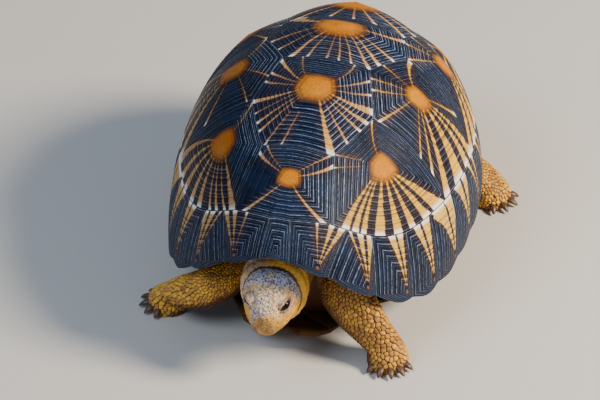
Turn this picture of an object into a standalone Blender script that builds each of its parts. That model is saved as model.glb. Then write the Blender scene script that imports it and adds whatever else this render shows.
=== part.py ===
# Radiated tortoise (Astrochelys radiata), adult, life size, standing with its head lowered.
# Metres, +Z up. The animal faces -Y and its left side is +X. The origin is on the floor, under
# the middle of the whole body. Everything is modelled round the middle of the shell, and the
# empty that carries it all puts that middle in its place.
#
# The carapace is a map from a flat unit disk to the dome. In the disk p runs to the animal's left,
# q to its rear, and the rim of the shell is the circle of radius 1. Every scute of the carapace is
# a polygon in that disk, so that neighbours share their seams.

import math

import bmesh
import bpy
from mathutils import Vector

# Carapace, the straight length is the sum of the two reaches
REACH_FRONT = 0.165
REACH_REAR = 0.150
SHELL_WIDTH = 0.234
DOME_HEIGHT = 0.142
SIDE_RIM_HEIGHT = 0.041      # above the floor
FRONT_RIM_RISE = 0.078       # how far the middle of the front rim is above the side rim
REAR_RIM_RISE = 0.041
PITCH = 0.020                # the shell's rise towards the rear, per metre
SHELL_MIDDLE = Vector((-0.008, 0.0148, 0))    # from the middle of the whole body

# Form of the dome: the arc that its outline covers, in radians, and how square its plan is
SIDE_ARC = 1.635
FRONT_ARC = 1.228
REAR_ARC = 1.459
PLAN_SQUARENESS = 2.3
REAR_SPREAD = 0.061
RIM_SCALLOP = 0.014          # of the disk's radius, at the middle of each marginal

# Plates
PLATE_THICKNESS = 0.0045
RING_SHARE = 0.52            # where a scute's inner ring lies between its areola and its outline
RIM_THICKNESS = 0.0026
SEAM_GAP = 0.0004
TRUNK_GAP = 0.0022
PLASTRON_HEIGHT = 0.018      # underside, above the floor
PLASTRON_THICKNESS = 0.004
BRIDGE_INSET = 0.0052        # from the rim of the carapace to the edge of the bridge

# Head and neck
HEAD_LENGTH = 0.052
HEAD_WIDTH = 0.0465
HEAD_HEIGHT = 0.0360
HEAD_PITCH = math.radians(22)
HEAD_REAR = Vector((-0.0047, -0.1310, 0.0790))
EYE_RADIUS = 0.0057
EYE_PLACE = (0.0325, 0.0122, 0.0072)    # forward, to the side and up from the head's rear
FLESH_GAP = 0.0004
FOOT_HEIGHT = 0.014          # from the sole to where the foot's level sections begin
CLAW_RADIUS = 0.0036
CLAW_HEIGHT = 0.0055         # of its root, above the floor

# Disk places of the corners where seams meet, on the left side
CORNERS = {
    "v1_v2_c1": (0.137, -0.436),
    "v2_c1_c2": (0.241, -0.214),
    "v2_v3_c2": (0.170, 0.011),
    "v3_c2_c3": (0.277, 0.195),
    "v3_v4_c3": (0.214, 0.335),
    "v4_c3_c4": (0.262, 0.500),
    "v4_v5_c4": (0.165, 0.635),
}
VERTEBRAL_AREOLAS = (-0.588, -0.145, 0.215, 0.490, 0.735)
VERTEBRAL_HUMPS = (0.0015, 0.0025, 0.0045, 0.0075, 0.0040)
COSTAL_AREOLAS = ((0.328, -0.383), (0.385, 0.010), (0.395, 0.370), (0.350, 0.610))
COSTAL_HUMPS = (0.0015, 0.0025, 0.0035, 0.0030)

# Marginals: the angles of their seams from the middle of the front rim, the nuchal's seam first.
# The first two slant, and so have another angle at the ring where they meet the costals.
RING_ANGLES = (0.056, 0.36)
SEAM_ANGLES = (0.071, 0.262, 0.512, 0.76, 1.00, 1.28, 1.56, 1.84, 2.10, 2.36, 2.62, 2.90)
MARGINAL_STEPS = 4
SEAM_STEP = 0.115            # in the disk
# Where the seams of the costals reach the ring of marginals: marginal and step along it
COSTAL_ENDS = ((1, 3), (5, 3), (7, 3), (9, 2), (11, 2))


def cleared_scene():
    for thing in list(bpy.data.objects):
        bpy.data.objects.remove(thing, do_unlink=True)


def principled(name, colour, roughness):
    material = bpy.data.materials.new(name)
    material.use_nodes = True
    shader = material.node_tree.nodes["Principled BSDF"]
    shader.inputs["Base Color"].default_value = (*colour, 1.0)
    shader.inputs["Roughness"].default_value = roughness
    shader.inputs["Metallic"].default_value = 0.0
    return material


def object_of(name, bm, material, smooth=True):
    bmesh.ops.recalc_face_normals(bm, faces=bm.faces)
    mesh = bpy.data.meshes.new(name)
    bm.to_mesh(mesh)
    bm.free()
    mesh.materials.append(material)
    if smooth:
        mesh.shade_smooth()
    thing = bpy.data.objects.new(name, mesh)
    bpy.context.scene.collection.objects.link(thing)
    return thing


def helper(thing):
    thing.hide_render = True
    thing.display_type = "WIRE"
    return thing


def boolean(thing, other, operation):
    cut = thing.modifiers.new(f"{operation.lower()}_{other.name}", "BOOLEAN")
    cut.operation = operation
    cut.solver = "EXACT"
    cut.use_self = operation == "UNION"     # the roots of neighbouring claws run into each other
    cut.object = other


def subdivide(thing, levels=1):
    smooth = thing.modifiers.new("smooth", "SUBSURF")
    smooth.levels = levels
    smooth.render_levels = levels


def blend(low, high, x):
    t = min(max((x - low) / (high - low), 0.0), 1.0)
    return t * t * (3 - 2 * t)


# The dome

def rim_rise(lengthwise):
    if lengthwise < 0:
        return FRONT_RIM_RISE * abs(lengthwise) ** 6.0
    return REAR_RIM_RISE * lengthwise ** 5.1


def dome_inside(radius, sideways, lengthwise):
    ahead = lengthwise < 0
    along = abs(lengthwise)
    arc = SIDE_ARC + ((FRONT_ARC if ahead else REAR_ARC) - SIDE_ARC) * along ** 1.95
    reach = REACH_FRONT if ahead else REACH_REAR
    spread = (abs(2 * sideways / SHELL_WIDTH) ** PLAN_SQUARENESS + (along / reach) ** PLAN_SQUARENESS)
    plan = spread ** (-1 / PLAN_SQUARENESS) * (math.sin(radius * arc) / math.sin(arc)) ** 0.967
    crown = max((math.cos(radius * arc) - math.cos(arc)) / (1 - math.cos(arc)), 0.0)
    crown **= 0.931 if ahead else 0.931 - 0.042 * along ** 2
    y = plan * lengthwise
    x = plan * sideways * (1 + REAR_SPREAD * y / REACH_REAR)
    rim = SIDE_RIM_HEIGHT + rim_rise(lengthwise) * radius ** 2
    return Vector((x, y, rim + DOME_HEIGHT * crown + PITCH * y))


def dome(p, q):
    radius = math.hypot(p, q)
    if radius < 1e-6:
        return dome_inside(0.0001, 0.0, -1.0)
    sideways, lengthwise = p / radius, q / radius
    if radius <= 1:
        return dome_inside(radius, sideways, lengthwise)
    rim = dome_inside(1.0, sideways, lengthwise)
    return rim + (rim - dome_inside(0.97, sideways, lengthwise)) * (radius - 1) / 0.03


def dome_normal(p, q):
    step = 0.012
    across = dome(p + step, q) - dome(p - step, q)
    along = dome(p, q + step) - dome(p, q - step)
    return across.cross(along).normalized()


def polar(radius, angle):
    return radius * math.sin(angle), -radius * math.cos(angle)


def ring_radius(angle):
    shoulder = 0.022 * math.sin(math.pi * min(angle, 1.1) / 1.1) ** 2
    return 0.745 + 0.055 * max(0.0, 1 - angle / 0.27) + shoulder + 0.06 * blend(1.2, 2.8, angle)


def mirrored(outline):
    return [(-p, q) for p, q in reversed(outline)]


def seam(start, end):
    steps = max(2, round(math.dist(start, end) / SEAM_STEP))
    return [(start[0] + (end[0] - start[0]) * i / steps, start[1] + (end[1] - start[1]) * i / steps)
            for i in range(steps)]


def marginal_angles(number, seams):
    start, end = seams[number - 1:number + 1]
    return [start + (end - start) * i / MARGINAL_STEPS for i in range(MARGINAL_STEPS + 1)]


def ring_of(number):
    angles = marginal_angles(number, RING_ANGLES + SEAM_ANGLES[2:])
    return [polar(ring_radius(a), a) for a in angles]


def rim_of(number):
    angles = marginal_angles(number, SEAM_ANGLES)
    share = [i / MARGINAL_STEPS for i in range(MARGINAL_STEPS + 1)]
    return [polar(1 + RIM_SCALLOP * math.sin(math.pi * u ** 1.3), a) for u, a in zip(share, angles)]


def ring_between(first, last):
    points = []
    for number in range(first[0], last[0] + 1):
        start = first[1] if number == first[0] else 0
        end = last[1] if number == last[0] else MARGINAL_STEPS
        points += ring_of(number)[start:end]
    return points + [ring_of(last[0])[last[1]]]


def marginal_outline(number):
    ring, rim = ring_of(number), rim_of(number)
    return ring[:-1] + seam(ring[-1], rim[-1]) + rim[:0:-1] + seam(rim[0], ring[0])


def costal_outline(number):
    ahead, behind = (ring_of(marginal)[step] for marginal, step in COSTAL_ENDS[number - 1:number + 1])
    upper = (("v1_v2_c1", "v2_c1_c2"), ("v2_c1_c2", "v2_v3_c2", "v3_c2_c3"),
             ("v3_c2_c3", "v3_v4_c3", "v4_c3_c4"), ("v4_c3_c4", "v4_v5_c4"))[number - 1]
    path = [ahead] + [CORNERS[name] for name in upper] + [behind]
    outline = []
    for start, end in zip(path, path[1:]):
        outline += seam(start, end)
    return outline + ring_between(COSTAL_ENDS[number - 1], COSTAL_ENDS[number])[:0:-1]


def vertebral_outline(number):
    left = {
        1: ring_of(1)[:3] + seam(ring_of(1)[3], CORNERS["v1_v2_c1"]) + [CORNERS["v1_v2_c1"]],
        2: seam(CORNERS["v1_v2_c1"], CORNERS["v2_c1_c2"])
        + seam(CORNERS["v2_c1_c2"], CORNERS["v2_v3_c2"]) + [CORNERS["v2_v3_c2"]],
        3: seam(CORNERS["v2_v3_c2"], CORNERS["v3_c2_c3"])
        + seam(CORNERS["v3_c2_c3"], CORNERS["v3_v4_c3"]) + [CORNERS["v3_v4_c3"]],
        4: seam(CORNERS["v3_v4_c3"], CORNERS["v4_c3_c4"])
        + seam(CORNERS["v4_c3_c4"], CORNERS["v4_v5_c4"]) + [CORNERS["v4_v5_c4"]],
        5: seam(CORNERS["v4_v5_c4"], ring_of(11)[2]) + ring_of(11)[2:],
    }[number]
    right = mirrored(left)
    return left[:-1] + seam(left[-1], right[0]) + right[:-1] + seam(right[-1], left[0])


def end_outline(ring, rim):
    left = seam(rim, ring)
    return left + seam(ring, (-ring[0], ring[1])) + mirrored(left)[:-1] + seam((-rim[0], rim[1]), rim)


def plate(name, outline, centre, hump, material, inner_shares=(1.0, RING_SHARE)):
    # One scute: the outline's points and a ring inside them on the dome, and the same again below
    bm = bmesh.new()
    middle = dome(*centre)

    def corner(point, share, depth):
        p = centre[0] + (point[0] - centre[0]) * share
        q = centre[1] + (point[1] - centre[1]) * share
        place, normal = dome(p, q), dome_normal(p, q)
        if share == 1.0:
            inward = middle - place
            inward -= normal * inward.dot(normal)
            place = place + inward.normalized() * SEAM_GAP / 2
        if depth == 0:
            return bm.verts.new(place + normal * hump * (1 - share) ** 1.2)
        return bm.verts.new(place - normal * depth)

    def depth_at(point):
        radius = math.hypot(*point)
        return PLATE_THICKNESS + (RIM_THICKNESS - PLATE_THICKNESS) * blend(0.86, 1.0, radius)

    count = len(outline)
    outer = [[corner(point, share, 0) for point in outline] for share in (1.0, RING_SHARE)]
    inner = [[corner(point, share, depth_at(point)) for point in outline] for share in inner_shares]
    top = corner(centre, 0.0, 0)
    under = corner(centre, 0.0, depth_at(centre))
    for i in range(count):
        j = (i + 1) % count
        bm.faces.new((outer[0][i], outer[0][j], outer[1][j], outer[1][i]))
        bm.faces.new((outer[1][i], outer[1][j], top))
        for first, second in zip(inner, inner[1:]):
            bm.faces.new((first[j], first[i], second[i], second[j]))
        bm.faces.new((inner[-1][j], inner[-1][i], under))
        bm.faces.new((outer[0][j], outer[0][i], inner[0][i], inner[0][j]))
    return object_of(name, bm, material, smooth=False)


def carapace(material):
    ring, rim = ring_of(1)[0], rim_of(1)[0]
    plate("nuchal", end_outline(ring, rim), (0, (ring[1] + rim[1]) / 2), 0, material)
    ring, rim = ring_of(11)[-1], rim_of(11)[-1]
    plate("supracaudal", end_outline(ring, rim), (0, 0.91), 0.002, material)
    for i, (areola, hump) in enumerate(zip(VERTEBRAL_AREOLAS, VERTEBRAL_HUMPS)):
        plate(f"vertebral_{i + 1}", vertebral_outline(i + 1), (0, areola), hump, material)
    for side, sign in (("left", 1), ("right", -1)):
        for i, ((p, q), hump) in enumerate(zip(COSTAL_AREOLAS, COSTAL_HUMPS)):
            outline = costal_outline(i + 1)
            outline = outline if sign > 0 else mirrored(outline)
            plate(f"costal_{side}_{i + 1}", outline, (sign * p, q), hump, material)
        for number in range(1, 12):
            angles = marginal_angles(number, SEAM_ANGLES)
            p, q = polar(0.88, (angles[0] + angles[-1]) / 2)
            outline = marginal_outline(number)
            outline = outline if sign > 0 else mirrored(outline)
            plate(f"marginal_{side}_{number}", outline, (sign * p, q), 0.0005, material, (1.0,))


# The plastron

def plastron_under(x, y):
    bridge = 0.0185 * blend(0.060, 0.112, abs(x))
    lift = 0.008 * blend(0.075, 0.140, y)
    return PLASTRON_HEIGHT + bridge + lift


def bridge_edge(angle):
    rim = dome(*polar(1.0, angle))
    return rim.x - BRIDGE_INSET, rim.y


# Half outlines on the left, from the middle line outwards, in metres from the shell's middle
def plastron_outlines():
    axilla, groin = (0.062, -0.078), (0.066, 0.074)
    gular_side, femoral_side = (0.034, -0.122), (0.046, 0.117)
    bridge = [bridge_edge(angle) for angle in (1.17, 1.30, 1.43, 1.60, 1.77, 1.92)]
    return {
        "gular": [(0, -0.104), (0, -0.126), (0.012, -0.131), (0.025, -0.129), gular_side],
        "humeral": [(0, -0.060), (0, -0.104), gular_side, (0.044, -0.104), (0.055, -0.091), axilla],
        "pectoral": [(0, -0.038), (0, -0.060), axilla, (0.085, -0.070)] + bridge[:3],
        "abdominal": [(0, 0.052), (0, -0.038)] + bridge[2:] + [(0.088, 0.066), groin],
        "femoral": [(0, 0.094), (0, 0.052), groin, (0.061, 0.098), femoral_side],
        "anal": [(0, 0.115), (0, 0.094), femoral_side, (0.036, 0.134), (0.024, 0.138), (0.010, 0.127)],
    }


def plastron_plate(name, half, sign, material):
    bm = bmesh.new()
    path = []
    for start, end in zip(half, half[1:] + half[:1]):
        steps = max(1, round(math.dist(start, end) / 0.022))
        path += [tuple(s + (e - s) * i / steps for s, e in zip(start, end)) for i in range(steps)]
    middle = Vector((sum(x for x, y in path) / len(path), sum(y for x, y in path) / len(path)))

    def corners(depth):
        row = []
        for point in path:
            place = Vector(point)
            place += (middle - place).normalized() * SEAM_GAP / 2
            # the wall along the middle line keeps its own clear distance from the other side's
            x, y = sign * max(place.x, SEAM_GAP / 2), place.y
            row.append(bm.verts.new((x, y, plastron_under(x, y) + depth)))
        return row

    low = corners(0)
    high = corners(PLASTRON_THICKNESS)
    level = plastron_under(*middle)
    under = bm.verts.new((sign * middle.x, middle.y, level))
    top = bm.verts.new((sign * middle.x, middle.y, level + PLASTRON_THICKNESS))
    for i in range(len(path)):
        j = (i + 1) % len(path)
        bm.faces.new((low[i], low[j], under))
        bm.faces.new((high[j], high[i], top))
        bm.faces.new((low[j], low[i], high[i], high[j]))
    object_of(name, bm, material, smooth=False)


def plastron(material):
    for name, half in plastron_outlines().items():
        plastron_plate(f"{name}_left", half, 1, material)
        plastron_plate(f"{name}_right", half, -1, material)


# The flesh

def trunk_reach(angle):
    # How far out in the disk the trunk fills the shell: to the bridge at the sides, and only to the
    # back of the pockets for the neck and legs in front and behind
    front = 0.93 - 0.36 * blend(1.20, 0.85, angle)
    return front - 0.24 * blend(1.95, 2.30, angle)


def trunk_mesh(inset):
    bm = bmesh.new()
    count = 30
    rows = []
    depth = PLATE_THICKNESS + TRUNK_GAP + inset
    for share in (0.22, 0.44, 0.64, 0.82, 1.0):
        row = []
        for i in range(count):
            turn = 2 * math.pi * i / count
            angle = turn if turn <= math.pi else 2 * math.pi - turn
            p, q = polar(share * trunk_reach(angle), turn)
            row.append(bm.verts.new(dome(p, q) - dome_normal(p, q) * depth))
        rows.append(row)
    floor_gap = PLASTRON_THICKNESS + 0.0016 + inset
    for share in (0.97, 0.5):
        row = []
        for upper in rows[4]:
            flat = upper.co.xy * share
            row.append(bm.verts.new((flat.x, flat.y, plastron_under(*flat) + floor_gap)))
        rows.append(row)
    peak = bm.verts.new(dome(0, 0) - Vector((0, 0, depth)))
    base = bm.verts.new((0, 0, plastron_under(0, 0) + floor_gap))
    for i in range(count):
        j = (i + 1) % count
        bm.faces.new((peak, rows[0][i], rows[0][j]))
        for upper, lower in zip(rows, rows[1:]):
            bm.faces.new((upper[j], upper[i], lower[i], lower[j]))
        bm.faces.new((base, rows[-1][j], rows[-1][i]))
    return bm


def superellipse(angle, squareness):
    c, s = math.cos(angle), math.sin(angle)
    power = 2 / squareness
    return math.copysign(abs(c) ** power, c), math.copysign(abs(s) ** power, s)


def loft(sections, sides):
    # Each section: centre, the two axes across it, half width, half height above and below,
    # squareness, and the share by which its top is narrower than its middle
    bm = bmesh.new()
    rows = []
    for centre, across, up, width, above, below, squareness, narrowing in sections:
        row = []
        for i in range(sides):
            x, y = superellipse(2 * math.pi * (i + 0.5) / sides, squareness)
            height = above if y > 0 else below
            x *= 1 - narrowing * max(y, 0.0) ** 0.8
            row.append(bm.verts.new(centre + across * x * width + up * y * height))
        rows.append(row)
    for first, second in zip(rows, rows[1:]):
        for i in range(sides):
            j = (i + 1) % sides
            bm.faces.new((first[i], first[j], second[j], second[i]))
    bm.faces.new(rows[0][::-1])
    bm.faces.new(rows[-1])
    return bm


HEAD_FORWARD = Vector((0, -math.cos(HEAD_PITCH), -math.sin(HEAD_PITCH)))
HEAD_UP = Vector((0, -math.sin(HEAD_PITCH), math.cos(HEAD_PITCH)))
SIDE = Vector((1, 0, 0))

# Along the head: share of the length, then half width, height above and below as shares of the
# head's half width and half height, how far the middle is raised, squareness and narrowing
HEAD_SECTIONS = (
    (0.00, 0.82, 0.82, 0.85, 0.000, 2.2, 0.10),
    (0.13, 0.96, 0.96, 0.97, 0.000, 2.4, 0.12),
    (0.31, 1.02, 1.01, 1.02, 0.000, 2.5, 0.18),
    (0.50, 1.00, 1.02, 1.02, 0.000, 2.5, 0.30),
    (0.67, 0.90, 0.96, 0.97, -0.0010, 2.4, 0.38),
    (0.82, 0.68, 0.82, 0.89, -0.0020, 2.3, 0.36),
    (0.94, 0.41, 0.58, 0.74, -0.0035, 2.2, 0.22),
    (1.00, 0.22, 0.28, 0.48, -0.0050, 2.0, 0.10),
)


def head_mesh(grow=0.0):
    sections = []
    for share, width, above, below, raised, squareness, narrowing in HEAD_SECTIONS:
        centre = HEAD_REAR + HEAD_FORWARD * HEAD_LENGTH * share + HEAD_UP * raised
        sections.append((centre, SIDE, HEAD_UP, width * HEAD_WIDTH / 2 + grow,
                         above * HEAD_HEIGHT / 2 + grow, below * HEAD_HEIGHT / 2 + grow,
                         squareness, narrowing))
    return loft(sections, 12)


def eye_mesh(sign, radius, segments, rings):
    bm = bmesh.new()
    forward, aside, up = EYE_PLACE
    bmesh.ops.create_uvsphere(bm, u_segments=segments, v_segments=rings, radius=radius)
    centre = HEAD_REAR + HEAD_FORWARD * forward + SIDE * sign * aside + HEAD_UP * up
    bmesh.ops.translate(bm, verts=bm.verts, vec=centre)
    return bm


def head(skin, eye):
    thing = object_of("head", head_mesh(), skin)
    subdivide(thing)
    for side, sign in (("left", 1), ("right", -1)):
        object_of(f"eye_{side}", eye_mesh(sign, EYE_RADIUS, 12, 7), eye)
        socket = object_of(f"socket_{side}", eye_mesh(sign, EYE_RADIUS + FLESH_GAP, 12, 7), skin)
        boolean(thing, helper(socket), "DIFFERENCE")


def in_head(forward, up):
    return HEAD_REAR + HEAD_FORWARD * forward + HEAD_UP * up


def neck(skin, trunk_cutter):
    # From inside the front pocket to the loose skin that stands round the head like a hood. Its lip
    # lies farther forward below the chin than over the crown.
    stations = (
        # centre, turn of the section up from the head's own, half width, half height
        (Vector((0.000, -0.092, 0.084)), 22, 0.029, 0.026),
        (Vector((-0.003, -0.108, 0.084)), 22, 0.028, 0.025),
        (in_head(0.001, -0.001), 14, 0.0272, 0.0245),
        (in_head(0.012, -0.0028), 26, 0.0284, 0.0266),
        (in_head(0.019, -0.0030), 32, 0.0278, 0.0262),
        (in_head(0.0225, -0.0025), 32, 0.0245, 0.0228),
    )
    sections = []
    for centre, turn, width, height in stations:
        forward = HEAD_FORWARD * math.cos(math.radians(turn)) + HEAD_UP * math.sin(math.radians(turn))
        up = SIDE.cross(forward).normalized() * -1
        sections.append((centre, SIDE, up, width, height, height, 2.1, 0.0))
    thing = object_of("neck", loft(sections, 10), skin)
    subdivide(thing)
    boolean(thing, trunk_cutter, "DIFFERENCE")
    head_cutter = helper(object_of("head_cutter", head_mesh(FLESH_GAP + 0.0002), skin))
    subdivide(head_cutter)
    boolean(thing, head_cutter, "DIFFERENCE")


# Along a claw, from inside the toe to the tip: share of its length, droop and thickness
CLAW_RINGS = ((-0.35, 0.0, 1.0), (0.25, -0.04, 0.95), (0.68, -0.22, 0.66), (1.0, -0.50, 0.22))


def claw_into(bm, root, outward, length, radius):
    # A blunt curved nail: rings that narrow as they run out and down to the floor
    sides = 5
    lowest = 0.0006      # clear of the floor, which the sole alone touches
    across = outward.cross(Vector((0, 0, 1))).normalized()
    rows = []
    for along, droop, size in CLAW_RINGS:
        centre = root + outward * length * along + Vector((0, 0, length * droop))
        up = outward.cross(across).normalized()
        row = []
        for i in range(sides):
            turn = 2 * math.pi * i / sides
            place = centre + (across * math.cos(turn) + up * math.sin(turn) * 0.8) * radius * size
            place.z = max(place.z, lowest)
            row.append(bm.verts.new(place))
        rows.append(row)
    for first, second in zip(rows, rows[1:]):
        for i in range(sides):
            j = (i + 1) % sides
            bm.faces.new((first[i], first[j], second[j], second[i]))
    bm.faces.new(rows[0][::-1])
    bm.faces.new(rows[-1])


def leg(name, stations, broad, foot, heading, claws, skin, trunk_cutter):
    # stations: centre, half width along the broad way, half thickness. foot: centre, half length
    # along the heading and half width of the sole.
    sections = []
    centres = [Vector(station[0]) for station in stations]
    foot_centre = Vector((foot[0], foot[1], 0))
    centres.append(foot_centre + Vector((0, 0, FOOT_HEIGHT)))
    for i, (centre, width, thickness) in enumerate(stations):
        run = (centres[i + 1] - centres[max(i - 1, 0)]).normalized()
        across = (broad - run * broad.dot(run)).normalized()
        sections.append((centres[i], across, across.cross(run), width, thickness, thickness, 2.2, 0.0))
    ahead = Vector((math.sin(heading), -math.cos(heading), 0))
    aside = Vector((math.cos(heading), math.sin(heading), 0))
    # the foot's own sections lie level, and the last two make the flat sole
    last = sections[-1][1]
    turned = aside if aside.dot(last) > 0 else -aside
    forward = ahead if ahead.dot(turned.cross(Vector((0, 0, -1)))) > 0 else -ahead
    for height, grow in ((FOOT_HEIGHT, 0.98), (0.005, 1.06), (0.0, 1.0), (0.0, 0.72)):
        centre = foot_centre + Vector((0, 0, height))
        sections.append((centre, turned, forward, foot[3] * grow, foot[2] * grow, foot[2] * grow, 2.3, 0.0))
    thing = object_of(name, loft(sections, 9), skin)
    subdivide(thing)
    boolean(thing, trunk_cutter, "DIFFERENCE")
    nails = bmesh.new()
    for turn, length in claws:
        way = heading + math.radians(turn)
        outward = Vector((math.sin(way), -math.cos(way), 0))
        reach = 1 / math.hypot(outward.dot(ahead) / foot[2], outward.dot(aside) / foot[3])
        root = foot_centre + outward * (reach * 0.96) + Vector((0, 0, CLAW_HEIGHT))
        claw_into(nails, root, outward, length, CLAW_RADIUS)
    claw_set = helper(object_of(f"claws_of_{name}", nails, skin))
    boolean(thing, claw_set, "UNION")


def legs(skin, trunk_cutter):
    fore_claws = ((-54, 0.0065), (-28, 0.0075), (-2, 0.0080), (24, 0.0075), (50, 0.0065))
    hind_claws = ((-42, 0.0070), (-14, 0.0078), (14, 0.0078), (42, 0.0070))
    leg("foreleg_left", (
        ((0.050, -0.076, 0.066), 0.026, 0.017),
        ((0.042, -0.096, 0.0615), 0.030, 0.0165),
        ((0.041, -0.110, 0.0550), 0.0310, 0.0143),
        ((0.0525, -0.117, 0.0400), 0.0250, 0.0145),
        ((0.0675, -0.121, 0.026), 0.0200, 0.013),
    ), Vector((0.80, -0.35, 0.40)), (0.080, -0.124, 0.016, 0.0168), math.radians(22), fore_claws,
        skin, trunk_cutter)
    leg("foreleg_right", (
        ((-0.049, -0.078, 0.058), 0.022, 0.020),
        ((-0.048, -0.100, 0.051), 0.022, 0.021),
        ((-0.056, -0.114, 0.042), 0.021, 0.0190),
        ((-0.072, -0.114, 0.031), 0.0190, 0.0160),
        ((-0.088, -0.107, 0.0235), 0.0175, 0.0138),
    ), Vector((-0.25, -0.85, 0.35)), (-0.099, -0.098, 0.0160, 0.0160), math.radians(-66), fore_claws,
        skin, trunk_cutter)
    leg("hindleg_left", (
        ((0.058, 0.084, 0.052), 0.021, 0.018),
        ((0.074, 0.088, 0.040), 0.021, 0.0145),
        ((0.090, 0.091, 0.029), 0.020, 0.0120),
        ((0.104, 0.094, 0.022), 0.019, 0.0130),
    ), Vector((0.2, 1, 0)), (0.114, 0.095, 0.0175, 0.0165), math.radians(62), hind_claws,
        skin, trunk_cutter)
    leg("hindleg_right", (
        ((-0.052, 0.083, 0.052), 0.021, 0.018),
        ((-0.066, 0.090, 0.043), 0.021, 0.015),
        ((-0.079, 0.096, 0.033), 0.020, 0.0125),
        ((-0.090, 0.100, 0.026), 0.019, 0.0145),
    ), Vector((-0.3, 1, 0)), (-0.094, 0.101, 0.0175, 0.0165), math.radians(-40), hind_claws,
        skin, trunk_cutter)


def tail(skin, trunk_cutter):
    course = (
        ((0.002, 0.094, 0.062), 0.015, 0.013),
        ((0.004, 0.112, 0.056), 0.013, 0.011),
        ((0.009, 0.126, 0.047), 0.0095, 0.0085),
        ((0.015, 0.138, 0.038), 0.0060, 0.0055),
        ((0.021, 0.145, 0.031), 0.0026, 0.0024),
    )
    centres = [Vector(centre) for centre, width, height in course]
    sections = []
    for i, (centre, width, height) in enumerate(course):
        run = (centres[min(i + 1, len(course) - 1)] - centres[max(i - 1, 0)]).normalized()
        up = SIDE.cross(run).normalized()
        sections.append((centres[i], up.cross(run) * -1, up, width, height, height, 2.0, 0.0))
    thing = object_of("tail", loft(sections, 8), skin)
    subdivide(thing)
    boolean(thing, trunk_cutter, "DIFFERENCE")


def main():
    cleared_scene()
    carrier = bpy.data.objects.new("tortoise", None)
    carrier.location = SHELL_MIDDLE
    bpy.context.scene.collection.objects.link(carrier)
    carapace_horn = principled("carapace_horn", (0.045, 0.050, 0.075), 0.35)
    plastron_horn = principled("plastron_horn", (0.55, 0.40, 0.18), 0.45)
    skin = principled("skin", (0.50, 0.36, 0.18), 0.70)
    eye = principled("eye", (0.015, 0.010, 0.008), 0.08)
    carapace(carapace_horn)
    plastron(plastron_horn)
    object_of("trunk", trunk_mesh(0.0), skin)
    trunk_cutter = helper(object_of("trunk_cutter", trunk_mesh(-FLESH_GAP), skin))
    neck(skin, trunk_cutter)
    head(skin, eye)
    legs(skin, trunk_cutter)
    tail(skin, trunk_cutter)
    for thing in bpy.context.scene.objects:
        if thing != carrier:
            thing.parent = carrier


main()
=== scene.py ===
import math

import bpy
import numpy as np
from mathutils import Matrix, Vector, kdtree
from mathutils.bvhtree import BVHTree


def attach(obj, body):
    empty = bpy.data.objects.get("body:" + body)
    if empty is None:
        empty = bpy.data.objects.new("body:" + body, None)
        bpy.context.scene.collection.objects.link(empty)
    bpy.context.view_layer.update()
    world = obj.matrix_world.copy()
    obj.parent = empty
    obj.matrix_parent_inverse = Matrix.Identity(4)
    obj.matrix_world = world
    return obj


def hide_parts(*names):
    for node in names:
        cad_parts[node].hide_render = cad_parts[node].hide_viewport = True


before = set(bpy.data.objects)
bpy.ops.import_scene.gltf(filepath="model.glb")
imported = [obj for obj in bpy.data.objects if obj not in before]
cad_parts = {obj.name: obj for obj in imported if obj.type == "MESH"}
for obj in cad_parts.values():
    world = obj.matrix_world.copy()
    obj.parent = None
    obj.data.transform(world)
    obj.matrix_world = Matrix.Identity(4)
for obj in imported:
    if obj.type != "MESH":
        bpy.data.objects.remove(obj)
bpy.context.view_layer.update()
shellMiddle = Vector((-0.008, 0.0148, 0))      # of the shell, from the middle of the whole animal
chance = np.random.default_rng(11)


# small helpers

def blend(low, high, x):
    t = np.clip((np.asarray(x, float) - low) / (high - low), 0.0, 1.0)
    return t * t * (3 - 2 * t)


def deselectAll():
    bpy.ops.object.select_all(action="DESELECT")


def activate(thing):
    deselectAll()
    thing.select_set(True)
    bpy.context.view_layer.objects.active = thing


def applyAll(thing):
    activate(thing)
    for modifier in list(thing.modifiers):
        bpy.ops.object.modifier_apply(modifier=modifier.name)


def meshObject(name, points, faces, material=None, smooth=True):
    mesh = bpy.data.meshes.new(name)
    mesh.from_pydata([tuple(p) for p in np.asarray(points, float)], [], faces)
    mesh.update()
    if smooth:
        mesh.polygons.foreach_set("use_smooth", [True] * len(mesh.polygons))
    if material:
        mesh.materials.append(material)
    thing = bpy.data.objects.new(name, mesh)
    bpy.context.scene.collection.objects.link(thing)
    return thing


def store(mesh, name, kind, values):
    key = {"FLOAT": "value", "FLOAT_VECTOR": "vector", "FLOAT_COLOR": "color"}[kind]
    layer = mesh.attributes.new(name, kind, "POINT")
    layer.data.foreach_set(key, np.ascontiguousarray(values, np.float32).ravel())


def pointsOf(mesh, what="vertices", key="co"):
    table = getattr(mesh, what)
    values = np.empty(len(table) * 3, np.float32)
    table.foreach_get(key, values)
    return values.reshape(-1, 3).astype(float)


def setPoints(mesh, points):
    mesh.vertices.foreach_set("co", np.ascontiguousarray(points, np.float32).ravel())
    mesh.update()


def outwardNormals(mesh):
    return pointsOf(mesh, "vertex_normals", "vector")


# material helpers

def newMaterial(name, roughness):
    material = bpy.data.materials.new(name)
    material.use_nodes = True
    shader = material.node_tree.nodes["Principled BSDF"]
    shader.inputs["Roughness"].default_value = roughness
    return material, material.node_tree, shader


def addNode(tree, kind, inputs, output=0, **settings):
    made = tree.nodes.new(kind)
    for key, value in settings.items():
        setattr(made, key, value)
    for key, value in inputs.items():
        if isinstance(value, bpy.types.NodeSocket):
            tree.links.new(value, made.inputs[key])
        elif value is not None:
            made.inputs[key].default_value = value
    return made.outputs[output]


def attribute(tree, name, output="Fac"):
    return addNode(tree, "ShaderNodeAttribute", {}, output, attribute_name=name)


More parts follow.
